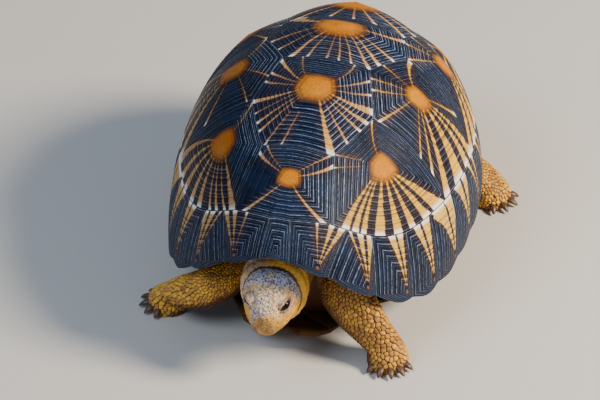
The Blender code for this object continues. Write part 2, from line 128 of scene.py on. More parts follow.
def calc(tree, operation, a, b=0.5, clamp=False):
    return addNode(tree, "ShaderNodeMath", {0: a, 1: b}, operation=operation, use_clamp=clamp)


def step(tree, value, low, high):
    return addNode(tree, "ShaderNodeMapRange", {0: value, 1: low, 2: high}, interpolation_type="SMOOTHSTEP")


def mix(tree, factor, a, b):
    colours = [value if isinstance(value, bpy.types.NodeSocket) else (*value, 1.0) for value in (a, b)]
    return addNode(tree, "ShaderNodeMix", {0: factor, 6: colours[0], 7: colours[1]}, 2, data_type="RGBA")


def noiseOf(tree, vector, scale, detail=3.0, roughness=0.55):
    return addNode(tree, "ShaderNodeTexNoise", {"Vector": vector, "Scale": scale, "Detail": detail,
                                                "Roughness": roughness})


def cells(tree, vector, scale):
    return addNode(tree, "ShaderNodeTexVoronoi", {"Vector": vector, "Scale": scale})


def bump(tree, shader, height, distance, strength=1.0):
    normal = addNode(tree, "ShaderNodeBump", {"Height": height, "Distance": distance, "Strength": strength})
    tree.links.new(normal, shader.inputs["Normal"])


def objectPlace(tree):
    return addNode(tree, "ShaderNodeTexCoord", {}, "Object")


# the shell: a map from a flat unit disk to the dome, p to the left and q to the rear

shellForm = {
    "reachFront": 0.165, "reachRear": 0.1499, "width": 0.234, "height": 0.142, "sideRim": 0.041,
    "frontRise": 0.078, "rearRise": 0.041, "pitch": 0.020, "sideArc": 1.635, "frontArc": 1.228,
    "rearArc": 1.459, "squareness": 2.3, "rearSpread": 0.061, "scallop": 0.014,
    "thickness": 0.0045, "rimThickness": 0.0026, "seamGap": 0.0004,
}


def domeInside(radius, sideways, lengthwise):
    form = shellForm
    ahead = lengthwise < 0
    along = np.abs(lengthwise)
    arc = form["sideArc"] + (np.where(ahead, form["frontArc"], form["rearArc"]) - form["sideArc"]) * along ** 1.95
    reach = np.where(ahead, form["reachFront"], form["reachRear"])
    square = form["squareness"]
    spread = np.abs(2 * sideways / form["width"]) ** square + (along / reach) ** square
    plan = spread ** (-1 / square) * (np.sin(radius * arc) / np.sin(arc)) ** 0.967
    crown = np.maximum((np.cos(radius * arc) - np.cos(arc)) / (1 - np.cos(arc)), 0.0)
    crown = crown ** np.where(ahead, 0.931, 0.931 - 0.042 * along ** 2)
    y = plan * lengthwise
    x = plan * sideways * (1 + form["rearSpread"] * y / form["reachRear"])
    rise = np.where(ahead, form["frontRise"] * along ** 6.0, form["rearRise"] * along ** 5.1)
    z = form["sideRim"] + rise * radius ** 2 + form["height"] * crown + form["pitch"] * y
    return np.stack([x, y, z], -1)


def dome(p, q):
    p, q = np.asarray(p, float), np.asarray(q, float)
    radius = np.maximum(np.hypot(p, q), 1e-4)
    lengthwise = np.where(np.hypot(p, q) < 1e-6, -1.0, q / radius)
    sideways = p / radius
    inside = domeInside(np.minimum(radius, 1.0), sideways, lengthwise)
    nearRim = domeInside(np.full_like(radius, 0.97), sideways, lengthwise)
    beyond = inside + (inside - nearRim) * (np.maximum(radius - 1, 0) / 0.03)[..., None]
    return beyond + np.array(shellMiddle)


def domeNormal(p, q):
    reach = 0.012
    across = dome(p + reach, q) - dome(p - reach, q)
    along = dome(p, q + reach) - dome(p, q - reach)
    normal = np.cross(across, along)
    return normal / np.linalg.norm(normal, axis=-1, keepdims=True)


def polar(radius, angle):
    return radius * math.sin(angle), -radius * math.cos(angle)


def ringRadius(angle):
    shoulder = 0.022 * math.sin(math.pi * min(angle, 1.1) / 1.1) ** 2
    return 0.745 + 0.055 * max(0.0, 1 - angle / 0.27) + shoulder + 0.06 * float(blend(1.2, 2.8, angle))


# where the seams run: the corners on the left side, and the marginals' angles from the front
seams = {
    "corners": {
        "v1v2c1": (0.137, -0.436), "v2c1c2": (0.241, -0.214), "v2v3c2": (0.170, 0.011),
        "v3c2c3": (0.277, 0.195), "v3v4c3": (0.214, 0.335), "v4c3c4": (0.262, 0.500), "v4v5c4": (0.165, 0.635),
    },
    "rimAngles": (0.071, 0.262, 0.512, 0.76, 1.00, 1.28, 1.56, 1.84, 2.10, 2.36, 2.62, 2.90),
    "firstRingAngles": (0.056, 0.36),
    "marginalSteps": 12,
    "costalEnds": ((1, 9), (5, 9), (7, 9), (9, 6), (11, 6)),     # marginal and step along it
}


def stepsBetween(first, last, count):
    return [first + (last - first) * i / count for i in range(count + 1)]


def ringOf(number):
    angles = seams["firstRingAngles"] + seams["rimAngles"][2:]
    return [polar(ringRadius(a), a) for a in stepsBetween(*angles[number - 1:number + 1], seams["marginalSteps"])]


def rimOf(number):
    steps = seams["marginalSteps"]
    angles = stepsBetween(*seams["rimAngles"][number - 1:number + 1], steps)
    return [polar(1 + shellForm["scallop"] * math.sin(math.pi * (i / steps) ** 1.3), a)
            for i, a in enumerate(angles)]


def ringBetween(first, last):
    points = []
    for number in range(first[0], last[0] + 1):
        start = first[1] if number == first[0] else 0
        end = last[1] if number == last[0] else seams["marginalSteps"]
        points += ringOf(number)[start:end]
    return points + [ringOf(last[0])[last[1]]]


def marginalOutline(number):
    return ringOf(number) + rimOf(number)[::-1]


def costalOutline(number):
    ahead, behind = (ringOf(marginal)[at] for marginal, at in seams["costalEnds"][number - 1:number + 1])
    upper = (("v1v2c1", "v2c1c2"), ("v2c1c2", "v2v3c2", "v3c2c3"), ("v3c2c3", "v3v4c3", "v4c3c4"),
             ("v4c3c4", "v4v5c4"))[number - 1]
    ring = ringBetween(seams["costalEnds"][number - 1], seams["costalEnds"][number])
    return [ahead] + [seams["corners"][name] for name in upper] + [behind] + ring[-2:0:-1]


def vertebralOutline(number):
    corner = seams["corners"]
    left = {
        1: ringOf(1)[:10] + [corner["v1v2c1"]],
        2: [corner["v1v2c1"], corner["v2c1c2"], corner["v2v3c2"]],
        3: [corner["v2v3c2"], corner["v3c2c3"], corner["v3v4c3"]],
        4: [corner["v3v4c3"], corner["v4c3c4"], corner["v4v5c4"]],
        5: [corner["v4v5c4"]] + ringOf(11)[6:],
    }[number]
    return left + mirrored(left)


def endOutline(ring, rim):
    return [rim, ring, (-ring[0], ring[1]), (-rim[0], rim[1])]


def mirrored(outline):
    return [(-p, q) for p, q in reversed(outline)]


def evenSpokes(outline, count):
    # points round the outline, its corners among them
    points = np.array(outline)
    following = np.roll(points, -1, axis=0)
    lengths = np.linalg.norm(following - points, axis=1)
    shares = []
    for start, end, length in zip(points, following, lengths):
        steps = max(1, round(count * length / lengths.sum()))
        shares += [start + (end - start) * i / steps for i in range(steps)]
    return np.array(shares)


# growth rings as terraces: share of the way across one ring, and how deep the horn lies there
ringProfile = ((0.0, 1.0), (0.12, 0.55), (0.35, 0.22), (0.62, 0.08), (0.84, 0.0), (0.94, 0.35))


def growthRows(areola, rings, unevenness, depth):
    # (share from the areola's middle, ring count, depth) for each row of a scute's mesh
    edges = areola + (1 - areola) * (np.arange(rings + 1) / rings) ** 0.92
    edges[1:-1] += chance.uniform(-1, 1, rings - 1) * unevenness * (1 - areola) / rings
    rows = [(areola * s, s - 1, depth * 0.25 * blend(1.0, 0.7, s)) for s in (0.15, 0.32, 0.5, 0.68, 0.84, 0.95)]
    for k in range(rings):
        for across, low in ringProfile:
            rows.append((edges[k] + (edges[k + 1] - edges[k]) * across, k + across,
                         depth * low * (1.5 if across == 0 and k % 4 == 0 else 1.0)))
    return np.array(rows + [(0.994, rings - 0.03, depth * 1.4), (1.0, rings, depth * 2.6)])


def rayField(rays, angles, rowShares, reach, rings):
    # signed distance in mm to the nearest ray's edge, and that ray's tone, for every row and spoke.
    # A ray: its middle by the areola and at the seam in degrees, its width there, tone and start.
    distance = np.full((len(rowShares), len(angles)), -40.0)
    tone = np.zeros_like(distance)
    wander = chance.uniform(-1, 1, (len(rays), int(rings.max()) + 2))
    for number, (inner, outer, width, brightness, start) in enumerate(rays):
        along = np.clip((rowShares - 0.35) / 0.65, -0.3, 1.0)
        jog = wander[number][np.clip(np.floor(rings + 0.05).astype(int), 0, None)]
        middle = inner + (outer - inner) * along + jog * 0.35
        half = width / 2 * (0.62 + 0.38 * along) * (1 + 0.10 * jog)
        off = np.abs((angles[None, :] - middle[:, None] + 180) % 360 - 180)
        away = np.radians(half[:, None] - off) * rowShares[:, None] * reach[None, :] * 117
        away = np.where(rowShares[:, None] < start, -40.0, away)
        nearer = away > distance
        distance[nearer] = away[nearer]
        tone[nearer] = brightness
    return distance, tone


def scute(name, outline, centre, look, material, surface=(dome, domeNormal)):
    place, normalAt = surface
    edge = evenSpokes(outline, look["spokes"])
    centre = np.array(centre, float)
    out = edge - centre
    turning = np.sum(out[:, 0] * np.roll(out[:, 1], -1) - out[:, 1] * np.roll(out[:, 0], -1))
    if turning * look.get("hand", 1) < 0:
        edge, out = edge[::-1], out[::-1]
    rows = growthRows(look["areola"], look["rings"], look.get("unevenness", 0.5), look["depth"])
    shares = rows[:, 0]
    p = centre[0] + shares[:, None] * out[None, :, 0]
    q = centre[1] + shares[:, None] * out[None, :, 1]
    points, normals = place(p, q), normalAt(p, q)
    middle = place(centre[0], centre[1])
    inward = middle - points[-1]
    inward -= normals[-1] * np.sum(inward * normals[-1], -1, keepdims=True)
    inward /= np.linalg.norm(inward, axis=-1, keepdims=True)
    points[-1] += inward * shellForm["seamGap"] / 2
    points[-2] += inward * shellForm["seamGap"] / 5
    angles = np.degrees(np.arctan2(out[:, 0], -out[:, 1]))
    reach = np.hypot(out[:, 0], out[:, 1])
    # grooves are fainter where a ring is narrow
    strength = np.clip(reach / 0.13, 0.35, 1.0)
    wave = 1 + 0.25 * np.sin(np.radians(angles) * 5 + chance.uniform(0, 6))[None, :]
    sink = rows[:, 2][:, None] * strength[None, :] * wave
    lift = look["hump"] * (1 - shares) ** 1.2
    points = points + normals * (lift[:, None] - sink)[..., None]
    spokes = len(edge)
    count = len(rows)
    top = middle + normalAt(centre[0], centre[1]) * look["hump"]
    # the underside: the same edge and one inner ring, a plate's thickness below
    radius = np.hypot(edge[:, 0], edge[:, 1])
    thick = shellForm["thickness"] + (shellForm["rimThickness"] - shellForm["thickness"]) * blend(0.86, 1.0, radius)
    thick = look.get("thick", 1.0) * thick
    under = []
    for share in (1.0, 0.52):
        pp, qq = centre[0] + out[:, 0] * share, centre[1] + out[:, 1] * share
        ring = place(pp, qq) - normalAt(pp, qq) * thick[:, None]
        under.append(ring + (inward * shellForm["seamGap"] / 2 if share == 1.0 else 0))
    bottom = middle - normalAt(centre[0], centre[1]) * thick.max()
    allPoints = np.concatenate([[top], points.reshape(-1, 3), *under, [bottom]])
    i = np.arange(spokes)
    j = (i + 1) % spokes
    faces = [(0, 1 + a, 1 + b) for a, b in zip(i.tolist(), j.tolist())]
    for row in range(count + 1):
        a, b = 1 + row * spokes, 1 + (row + 1) * spokes
        faces += np.stack([a + i, b + i, b + j, a + j], -1).tolist()
    base, last = 1 + (count + 1) * spokes, len(allPoints) - 1
    faces += [(last, base + b, base + a) for a, b in zip(i.tolist(), j.tolist())]
    thing = meshObject(name, allPoints, faces, material)
    mesh = thing.data
    tail = 2 * spokes + 1

    def whole(first, grid, end):
        return np.concatenate([[first], np.asarray(grid, float).ravel(), np.full(tail, end)])

    distance, tone = rayField(look["rays"], angles, shares, reach, rows[:, 1])
    # painted highlight: how strong the pale ring lines are at each spoke, raised on the sectors that face the key
    # light
    lineHighlight = np.full(spokes, look.get("lineHighlight", 0.5))
    for start, end, value in look.get("lineHighlights", ()):
        inside = blend(start - 8, start + 8, angles) * blend(end + 8, end - 8, angles)
        lineHighlight = lineHighlight * (1 - inside) + value * inside
    ones = np.ones((count, spokes))
    store(mesh, "share", "FLOAT", whole(0, shares[:, None] * ones, 1.0))
    store(mesh, "ring", "FLOAT", whole(-1, rows[:, 1][:, None] * ones, look["rings"]))
    store(mesh, "ray", "FLOAT", whole(-40, distance, -40))
    store(mesh, "tone", "FLOAT", whole(0, tone, 0))
    store(mesh, "lineHighlight", "FLOAT", whole(0, lineHighlight[None, :] * ones, 0.1))
    # 1 at the edge of the areola, which is rounder than the scute
    boss = 0.45 * shares[:, None] / look["areola"] + 0.55 * shares[:, None] * reach[None, :] / (
        look["areola"] * look.get("bossReach", np.sqrt(np.mean(reach ** 2))))
    store(mesh, "boss", "FLOAT", whole(0, boss, 9))
    turn = np.radians(angles)
    spot = np.stack([np.sin(turn)[None, :] * ones, np.cos(turn)[None, :] * ones,
                     rows[:, 1][:, None] * ones * 0.5 + chance.uniform(0, 30)], -1).reshape(-1, 3)
    store(mesh, "lineSpot", "FLOAT_VECTOR", np.concatenate([spot[:1], spot, np.repeat(spot[:1], tail, 0)]))
    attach(thing, "root")
    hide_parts(name)
    return thing


# horn: black with fine pale growth lines, an orange areola and yellow rays; the navy blue over the black is a painted
# sky reflection

hornLooks = {
    "vertebral": {
        "ground": (0.0008, 0.0042, 0.017), "ground2": (0.0024, 0.011, 0.040), "brown": (0.014, 0.0085, 0.017),
        "line": (0.34, 0.43, 0.60), "areola": (0.60, 0.185, 0.0), "areola2": (0.62, 0.25, 0.015),
        "dull": (0.34, 0.20, 0.12), "bright": (0.82, 0.42, 0.09), "tip": (0.86, 0.84, 0.82)},
    "costalLeft": {
        "ground": (0.0014, 0.0045, 0.016), "ground2": (0.004, 0.012, 0.040), "brown": (0.022, 0.010, 0.012),
        "line": (0.40, 0.45, 0.58), "areola": (0.62, 0.205, 0.0), "areola2": (0.68, 0.27, 0.0),
        "dull": (0.44, 0.22, 0.08), "bright": (0.86, 0.50, 0.035), "tip": (0.94, 0.90, 0.82)},
    # the right costals: a darker, duller copy of the left costals' colours: painted shade on the shell's right side
    "costalRight": {
        "ground": (0.0010, 0.0040, 0.014), "ground2": (0.003, 0.011, 0.034), "brown": (0.014, 0.006, 0.005),
        "line": (0.26, 0.34, 0.50), "areola": (0.48, 0.12, 0.006), "areola2": (0.46, 0.17, 0.020),
        "dull": (0.30, 0.16, 0.08), "bright": (0.62, 0.36, 0.13), "tip": (0.70, 0.66, 0.60)},
    "marginal": {
        "ground": (0.0014, 0.0050, 0.016), "ground2": (0.004, 0.012, 0.038), "brown": (0.022, 0.010, 0.014),
        "line": (0.36, 0.41, 0.54), "areola": (0.21, 0.090, 0.050), "areola2": (0.30, 0.135, 0.070),
        "dull": (0.36, 0.20, 0.10), "bright": (0.88, 0.54, 0.07), "tip": (0.94, 0.90, 0.82)},
    # the plastron's colours are darkened overall: painted shade under the shell; its yellow and dark rays are its own
    "plastron": {
        "ground": (0.20, 0.100, 0.025), "ground2": (0.30, 0.17, 0.055), "brown": (0.08, 0.036, 0.012),
        "line": (0.16, 0.08, 0.028), "areola": (0.28, 0.15, 0.04), "areola2": (0.22, 0.11, 0.035),
        "dull": (0.020, 0.012, 0.010), "bright": (0.030, 0.018, 0.012), "tip": (0.03, 0.02, 0.015)},
}


def hornMaterial(name, look):
    material, tree, shader = newMaterial(name, 0.4)
    shader.inputs["Specular IOR Level"].default_value = 0.10
    spot = attribute(tree, "lineSpot", "Vector")
    place = objectPlace(tree)
    ring, share, ray = attribute(tree, "ring"), attribute(tree, "share"), attribute(tree, "ray")
    streaks = noiseOf(tree, spot, 9.0, 4.0, 0.65)
    broken = noiseOf(tree, spot, 26.0, 3.0, 0.7)
    clouds = noiseOf(tree, place, 55.0, 4.0, 0.6)
    grain = noiseOf(tree, place, 900.0, 3.0, 0.6)
    # black horn with a navy blue cast: painted sky reflection
    ground = mix(tree, step(tree, clouds, 0.35, 0.68), look["ground"], look["ground2"])
    near = step(tree, calc(tree, "ADD", ray, calc(tree, "MULTIPLY", streaks, 2.0)), -3.0, 0.5)
    ground = mix(tree, near, ground, look["brown"])
    # pale lines on the lip of each ring, broken and of uneven strength: partly pale horn, partly painted highlight on
    # the ridges, stronger on the sectors that face the key light
    phase = calc(tree, "FRACT", ring)
    wobble = calc(tree, "MULTIPLY_ADD", broken, 0.22)
    wobble.node.inputs[2].default_value = -0.11
    away = calc(tree, "ABSOLUTE", calc(tree, "SUBTRACT", calc(tree, "ADD", phase, wobble), 0.80))
    line = step(tree, away, 0.115, 0.030)
    fainter = calc(tree, "ABSOLUTE", calc(tree, "SUBTRACT", calc(tree, "ADD", phase, wobble), 0.42))
    second = step(tree, fainter, 0.10, 0.02)
    line = calc(tree, "MAXIMUM", line, calc(tree, "MULTIPLY", second, calc(tree, "MULTIPLY", broken, 0.45)))
    strength = calc(tree, "MULTIPLY", attribute(tree, "lineHighlight"), step(tree, streaks, 0.25, 0.70))
    strength = calc(tree, "MULTIPLY", strength, step(tree, attribute(tree, "boss"), 1.15, 1.75))
    line = calc(tree, "MULTIPLY", line, strength, True)
    colour = mix(tree, line, ground, look["line"])
    # rays, darker in each groove and white where they meet the seam
    edge = calc(tree, "MULTIPLY_ADD", broken, 1.0)
    edge.node.inputs[2].default_value = -0.5
    inRay = step(tree, calc(tree, "ADD", ray, edge), -0.30, 0.35)
    rayColour = mix(tree, attribute(tree, "tone"), look["dull"], look["bright"])
    rayColour = mix(tree, step(tree, streaks, 0.3, 0.8), rayColour, look["dull"])
    rayColour = mix(tree, step(tree, calc(tree, "ADD", share, calc(tree, "MULTIPLY", broken, 0.08)), 0.93, 1.03),
                    rayColour, look["tip"])
    nearEdge = calc(tree, "ABSOLUTE", calc(tree, "SUBTRACT", phase, 0.06))
    groove = calc(tree, "MULTIPLY", step(tree, nearEdge, 0.21, 0.04), step(tree, broken, 0.24, 0.54))
    groove = calc(tree, "MULTIPLY", groove, step(tree, share, 1.10, 0.60))
    bars = calc(tree, "MULTIPLY", step(tree, calc(tree, "ABSOLUTE", calc(tree, "SUBTRACT", phase, 0.16)), 0.34, 0.20),
                step(tree, share, 0.82, 0.42))
    groove = calc(tree, "MAXIMUM", groove, calc(tree, "MULTIPLY", bars, step(tree, broken, 0.30, 0.55)))
    rayColour = mix(tree, calc(tree, "MULTIPLY", groove, 0.80), rayColour, look["brown"])
    colour = mix(tree, inRay, colour, rayColour)
    # the areola, granular and worn
    grains = cells(tree, place, 520.0)
    ragged = calc(tree, "ADD", attribute(tree, "boss"), calc(tree, "MULTIPLY", streaks, 0.45))
    inside = step(tree, ragged, 1.70, 0.80)
    patch = mix(tree, step(tree, clouds, 0.35, 0.7), look["areola"], look["areola2"])
    patch = mix(tree, calc(tree, "MULTIPLY", step(tree, grains, 0.15, 0.75), 0.20), patch, look["brown"])
    colour = mix(tree, inside, colour, patch)
    colour = mix(tree, step(tree, share, 0.988, 1.0), colour, look["brown"])
    tree.links.new(colour, shader.inputs["Base Color"])
    rough = addNode(tree, "ShaderNodeMapRange", {0: calc(tree, "ADD", clouds, calc(tree, "MULTIPLY", grain, 0.4)),
                                                 1: 0.4, 2: 1.0, 3: 0.34, 4: 0.56})
    tree.links.new(rough, shader.inputs["Roughness"])
    fine = calc(tree, "ADD", calc(tree, "MULTIPLY", grain, 0.35), calc(tree, "MULTIPLY", streaks, 0.9))
    fine = calc(tree, "ADD", fine, calc(tree, "MULTIPLY", calc(tree, "MULTIPLY", grains, inside), 0.45))
    bump(tree, shader, fine, 0.00022, 0.8)
    return material


# rays of each scute: degree of its middle by the areola and at the seam, width, tone, start
scuteRays = {
    "vertebral1": ((-38, -48, 5, 0.5), (35, 50, 6, 0.9), (-120, -130, 5, 0.3), (113, 127, 6, 0.7),
                   (-135, -142, 1.5, 0.4), (139, 140, 2, 0.8)),
    "vertebral2": ((-112, -128, 5, 0.55), (-98, -108, 3, 0.5), (-86, -95, 2.5, 0.4), (-62, -72, 5, 0.6),
                   (-52, -57, 1.5, 0.3), (-41, -46, 2.5, 0.5), (-33, -37, 2, 0.5), (-24, -24, 1.2, 0.4),
                   (-12, -12, 1.2, 0.4), (22, 24, 6, 0.95), (34, 39, 2, 0.7), (46, 55, 2.5, 0.7), (56, 66, 4, 0.7),
                   (68, 80, 7, 0.9), (88, 98, 2.5, 0.7), (104, 117, 3, 0.7), (128, 145, 1.5, 0.6),
                   (-137, -150, 1.5, 0.5)),
    "vertebral3": ((-105, -125, 12, 0.6), (-68, -75, 3, 0.5), (-50, -55, 2, 0.5), (-32, -35, 4, 0.6),
                   (-18, -20, 2, 0.5), (0, 0, 1.5, 0.5), (11, 12, 2, 0.6), (23, 25, 2, 0.6), (37, 40, 3, 0.7),
                   (48, 52, 4, 0.8), (64, 70, 3, 0.8), (95, 112, 5, 0.9)),
    "vertebral4": ((-105, -118, 9, 0.6), (-70, -76, 4, 0.5), (-46, -50, 3, 0.6), (-20, -22, 3, 0.6), (8, 8, 3, 0.6),
                   (30, 33, 4, 0.7), (52, 56, 4, 0.8), (74, 80, 5, 0.8), (104, 118, 9, 0.9), (150, 155, 4, 0.6),
                   (-150, -155, 4, 0.6)),
    "vertebral5": ((-34, -38, 5, 0.6), (36, 40, 5, 0.8), (70, 76, 7, 0.8), (-70, -76, 7, 0.6), (104, 110, 8, 0.8),
                   (-104, -110, 8, 0.6), (138, 144, 7, 0.8), (-138, -144, 7, 0.6), (178, 180, 5, 0.7)),
    "costalLeft1": ((-17.5, -10.5, 5, 0.85), (-10.5, -3.5, 5, 0.85), (-3.5, 3.5, 5, 0.85), (15, 19, 12, 0.95),
                    (38, 41, 12, 1.0), (58, 61.5, 9, 1.0), (77, 83, 10, 1.0), (92, 99.5, 13, 1.0),
                    (-135, -150, 3, 0.7), (-77, -77, 1.0, 0.3), (-61, -61, 1.0, 0.3)),
    "costalLeft2": ((46, 52, 8, 0.95), (71, 75, 18, 1.0), (92, 96.5, 9, 1.0), (105, 110, 8, 1.0),
                    (-20, -28, 3, 0.6), (-52, -62, 2.5, 0.7), (-76, -78, 2, 0.6), (-140, -152, 6, 0.8),
                    (-108, -110, 2, 0.7), (22, 24, 2, 0.7), (34, 37, 3, 0.8), (126, 130, 4, 0.8)),
    "costalLeft3": ((58, 60, 7, 1.0), (73, 76, 16, 1.0), (96, 102, 22, 1.0), (-30, -35, 3, 0.7),
                    (-60, -66, 2.5, 0.7), (-90, -100, 3, 0.6),
                    (124, 130, 6, 0.9), (-140, -150, 5, 0.7)),
    "costalLeft4": ((20, 25, 8, 0.9), (50, 55, 10, 1.0), (80, 86, 12, 1.0), (108, 116, 10, 1.0),
                    (-20, -25, 4, 0.7), (-60, -66, 4, 0.7), (-110, -120, 5, 0.7), (145, 150, 7, 0.8)),
    # the right costals' first rays have lower tones: painted shade on the shell's right side
    "costalRight1": ((-112, -105, 8, 0.5), (-95.5, -86, 8, 0.55), (-76, -67, 10, 0.55), (-51.5, -42, 10, 0.6),
                     (-31, -23, 8, 0.55), (-12, -5.5, 3, 0.5), (-2, 2.5, 3, 0.5), (8, 10, 2, 0.45),
                     (20, 16.5, 5, 0.5), (135, 150, 3, 0.4)),
    "costalRight2": ((-112, -120, 9, 0.5), (-45, -50, 8, 0.5), (-66, -70, 8, 0.5), (-86, -92, 8, 0.5),
                     (26, 28, 1.5, 0.4), (58, 60, 1.8, 0.6), (-20, -24, 3, 0.4), (140, 150, 4, 0.5)),
}


def raysOf(name, start):
    return [(*ray, start if abs(ray[2]) > 1.2 else 0.45) for ray in scuteRays[name]]


def flippedRays(rays):
    # the tone is lowered for the right side: painted shade
    return [(-inner, -outer, width, tone * 0.6, start) for inner, outer, width, tone, start in rays]


scuteLooks = {
    "vertebral": {"spokes": 250, "rings": 11, "depth": 0.00026},
    "costal": {"spokes": 280, "rings": 11, "depth": 0.00028},
    "marginal": {"spokes": 120, "rings": 9, "depth": 0.00020},
    "end": {"spokes": 110, "rings": 7, "depth": 0.00018},
}
vertebralAreolas = ((-0.588, 0.0015, 0.20), (-0.145, 0.0025, 0.24), (0.215, 0.0039, 0.29), (0.490, 0.0075, 0.34),
                    (0.735, 0.0040, 0.30))       # place, hump and share of the scute
costalAreolas = ((0.328, -0.383, 0.0015, 0.20), (0.385, 0.010, 0.0025, 0.18), (0.395, 0.370, 0.0035, 0.21),
                 (0.350, 0.610, 0.0030, 0.28))
# painted highlight on the ring lines of each vertebral: sectors in degrees and their strength
vertebralLineHighlights = ({0: ((55, 112, 1.0), (-45, 45, 0.55), (-125, -50, 0.12), (-180, -135, 0.5), (140, 180, 0.5))}
                   | {n: ((20, 130, 0.9), (-40, 20, 0.5), (-120, -40, 0.35)) for n in (1, 2, 3, 4)})
# marginals: where their rays reach the ring of scutes above, width and tone
marginalRays = {
    1: ((0.285, 0.026, 0.8), (0.345, 0.028, 0.8), (0.20, 0.006, 0.3)),
    2: ((0.445, 0.034, 0.9), (0.505, 0.034, 0.9), (0.385, 0.012, 0.6)),
    3: ((0.650, 0.046, 0.95), (0.715, 0.040, 0.95)),
    4: ((0.860, 0.052, 1.0), (0.950, 0.068, 1.0)),
    5: ((1.095, 0.140, 1.0), (1.250, 0.115, 1.0)),
    6: ((1.40, 0.095, 1.0), (1.53, 0.075, 1.0)),
}


def shellScutes():
    horn = {name: hornMaterial("horn" + name[0].upper() + name[1:], look) for name, look in hornLooks.items()}
    for i, (areola, hump, size) in enumerate(vertebralAreolas):
        look = scuteLooks["vertebral"] | {"hump": hump, "areola": size, "lineHighlight": 0.5, "lineHighlights": vertebralLineHighlights[i],
                                          "rays": raysOf(f"vertebral{i + 1}", size * 0.9)}
        scute(f"vertebral_{i + 1}", vertebralOutline(i + 1), (0, areola), look, horn["vertebral"])
    for side, sign in (("left", 1), ("right", -1)):
        for i, (p, q, hump, size) in enumerate(costalAreolas):
            name = f"costal{side.capitalize()}{i + 1}"
            rays = raysOf(name, size * 0.9) if name in scuteRays else \
                flippedRays(raysOf(f"costalLeft{i + 1}", size * 0.9))
            # painted highlight on the ring lines, strongest on the sectors that face the key light
            lineHighlights = ((-80, -18, 0.85), (100, 180, 0.45)) if sign > 0 else ((60, 155, 0.9), (-180, -120, 0.4))
            size *= 1.0 if sign > 0 else 1.2
            look = scuteLooks["costal"] | {"hump": hump, "areola": size, "rays": rays,
                                           "lineHighlight": 0.35, "lineHighlights": lineHighlights}
            outline = costalOutline(i + 1) if sign > 0 else mirrored(costalOutline(i + 1))
            scute(f"costal_{side}_{i + 1}", outline, (sign * p, q), look, horn["costal" + side.capitalize()])
        for number in range(1, 12):
            start, end = seams["rimAngles"][number - 1:number + 1]
            angle = start + (end - start) * (0.74 if number == 1 else 0.84)
            p, q = polar(0.982, angle)
            spread = (end - start) * 0.12
            targets = marginalRays.get(number) or ((start + (end - start) * 0.35, spread, 0.9),
                                                   (start + (end - start) * 0.72, spread * 0.8, 0.9))
            rays = []
            for ringAngle, width, tone in targets:
                ends = [polar(ringRadius(a), a) for a in (ringAngle - width / 2, ringAngle + width / 2)]
                low, high = (math.degrees(math.atan2(u - p, q - v)) for u, v in ends)
                wide = (high - low + 180) % 360 - 180
                middle = low + wide / 2
                # rays on the right side's marginals are dimmed: painted shade
                rays.append((sign * middle, sign * middle, max(abs(wide), 2.5) * 1.15,
                             tone * (1 if sign > 0 else 0.35), 0.10))
            look = scuteLooks["marginal"] | {"hump": 0.0005, "areola": 0.055, "rays": rays, "lineHighlight": 0.55}
            outline = marginalOutline(number) if sign > 0 else mirrored(marginalOutline(number))
            scute(f"marginal_{side}_{number}", outline, (sign * p, q), look, horn["marginal"])
    ring, rim = ringOf(1)[0], rimOf(1)[0]
    look = scuteLooks["end"] | {"hump": 0.0, "areola": 0.10, "bossReach": 0.002, "rays": [], "lineHighlight": 0.7}
    scute("nuchal", endOutline(ring, rim), (0, rim[1] * 0.97), look, horn["vertebral"])
    ring, rim = ringOf(11)[-1], rimOf(11)[-1]
    fan = [(angle, angle, 7, 0.8, 0.3) for angle in (-60, -28, 0, 28, 60)]
    look = scuteLooks["end"] | {"hump": 0.0015, "areola": 0.28, "rays": fan, "lineHighlight": 0.5}
    scute("supracaudal", endOutline(ring, rim), (0, 0.91), look, horn["marginal"])
    return horn


# the plastron, in metres from the shell's middle

plastronForm = {"height": 0.018, "thickness": 0.004, "bridgeInset": 0.0052}


def plastronUnder(x, y):
    x = x - shellMiddle.x
    y = y - shellMiddle.y
    z = plastronForm["height"] + 0.0185 * blend(0.060, 0.112, np.abs(x)) + 0.008 * blend(0.075, 0.140, y)
    return np.stack([x + shellMiddle.x, y + shellMiddle.y, z], -1)


def plastronNormal(x, y):
    x = np.asarray(x, float)
    down = np.zeros((*x.shape, 3))
    down[..., 2] = -1
    return down


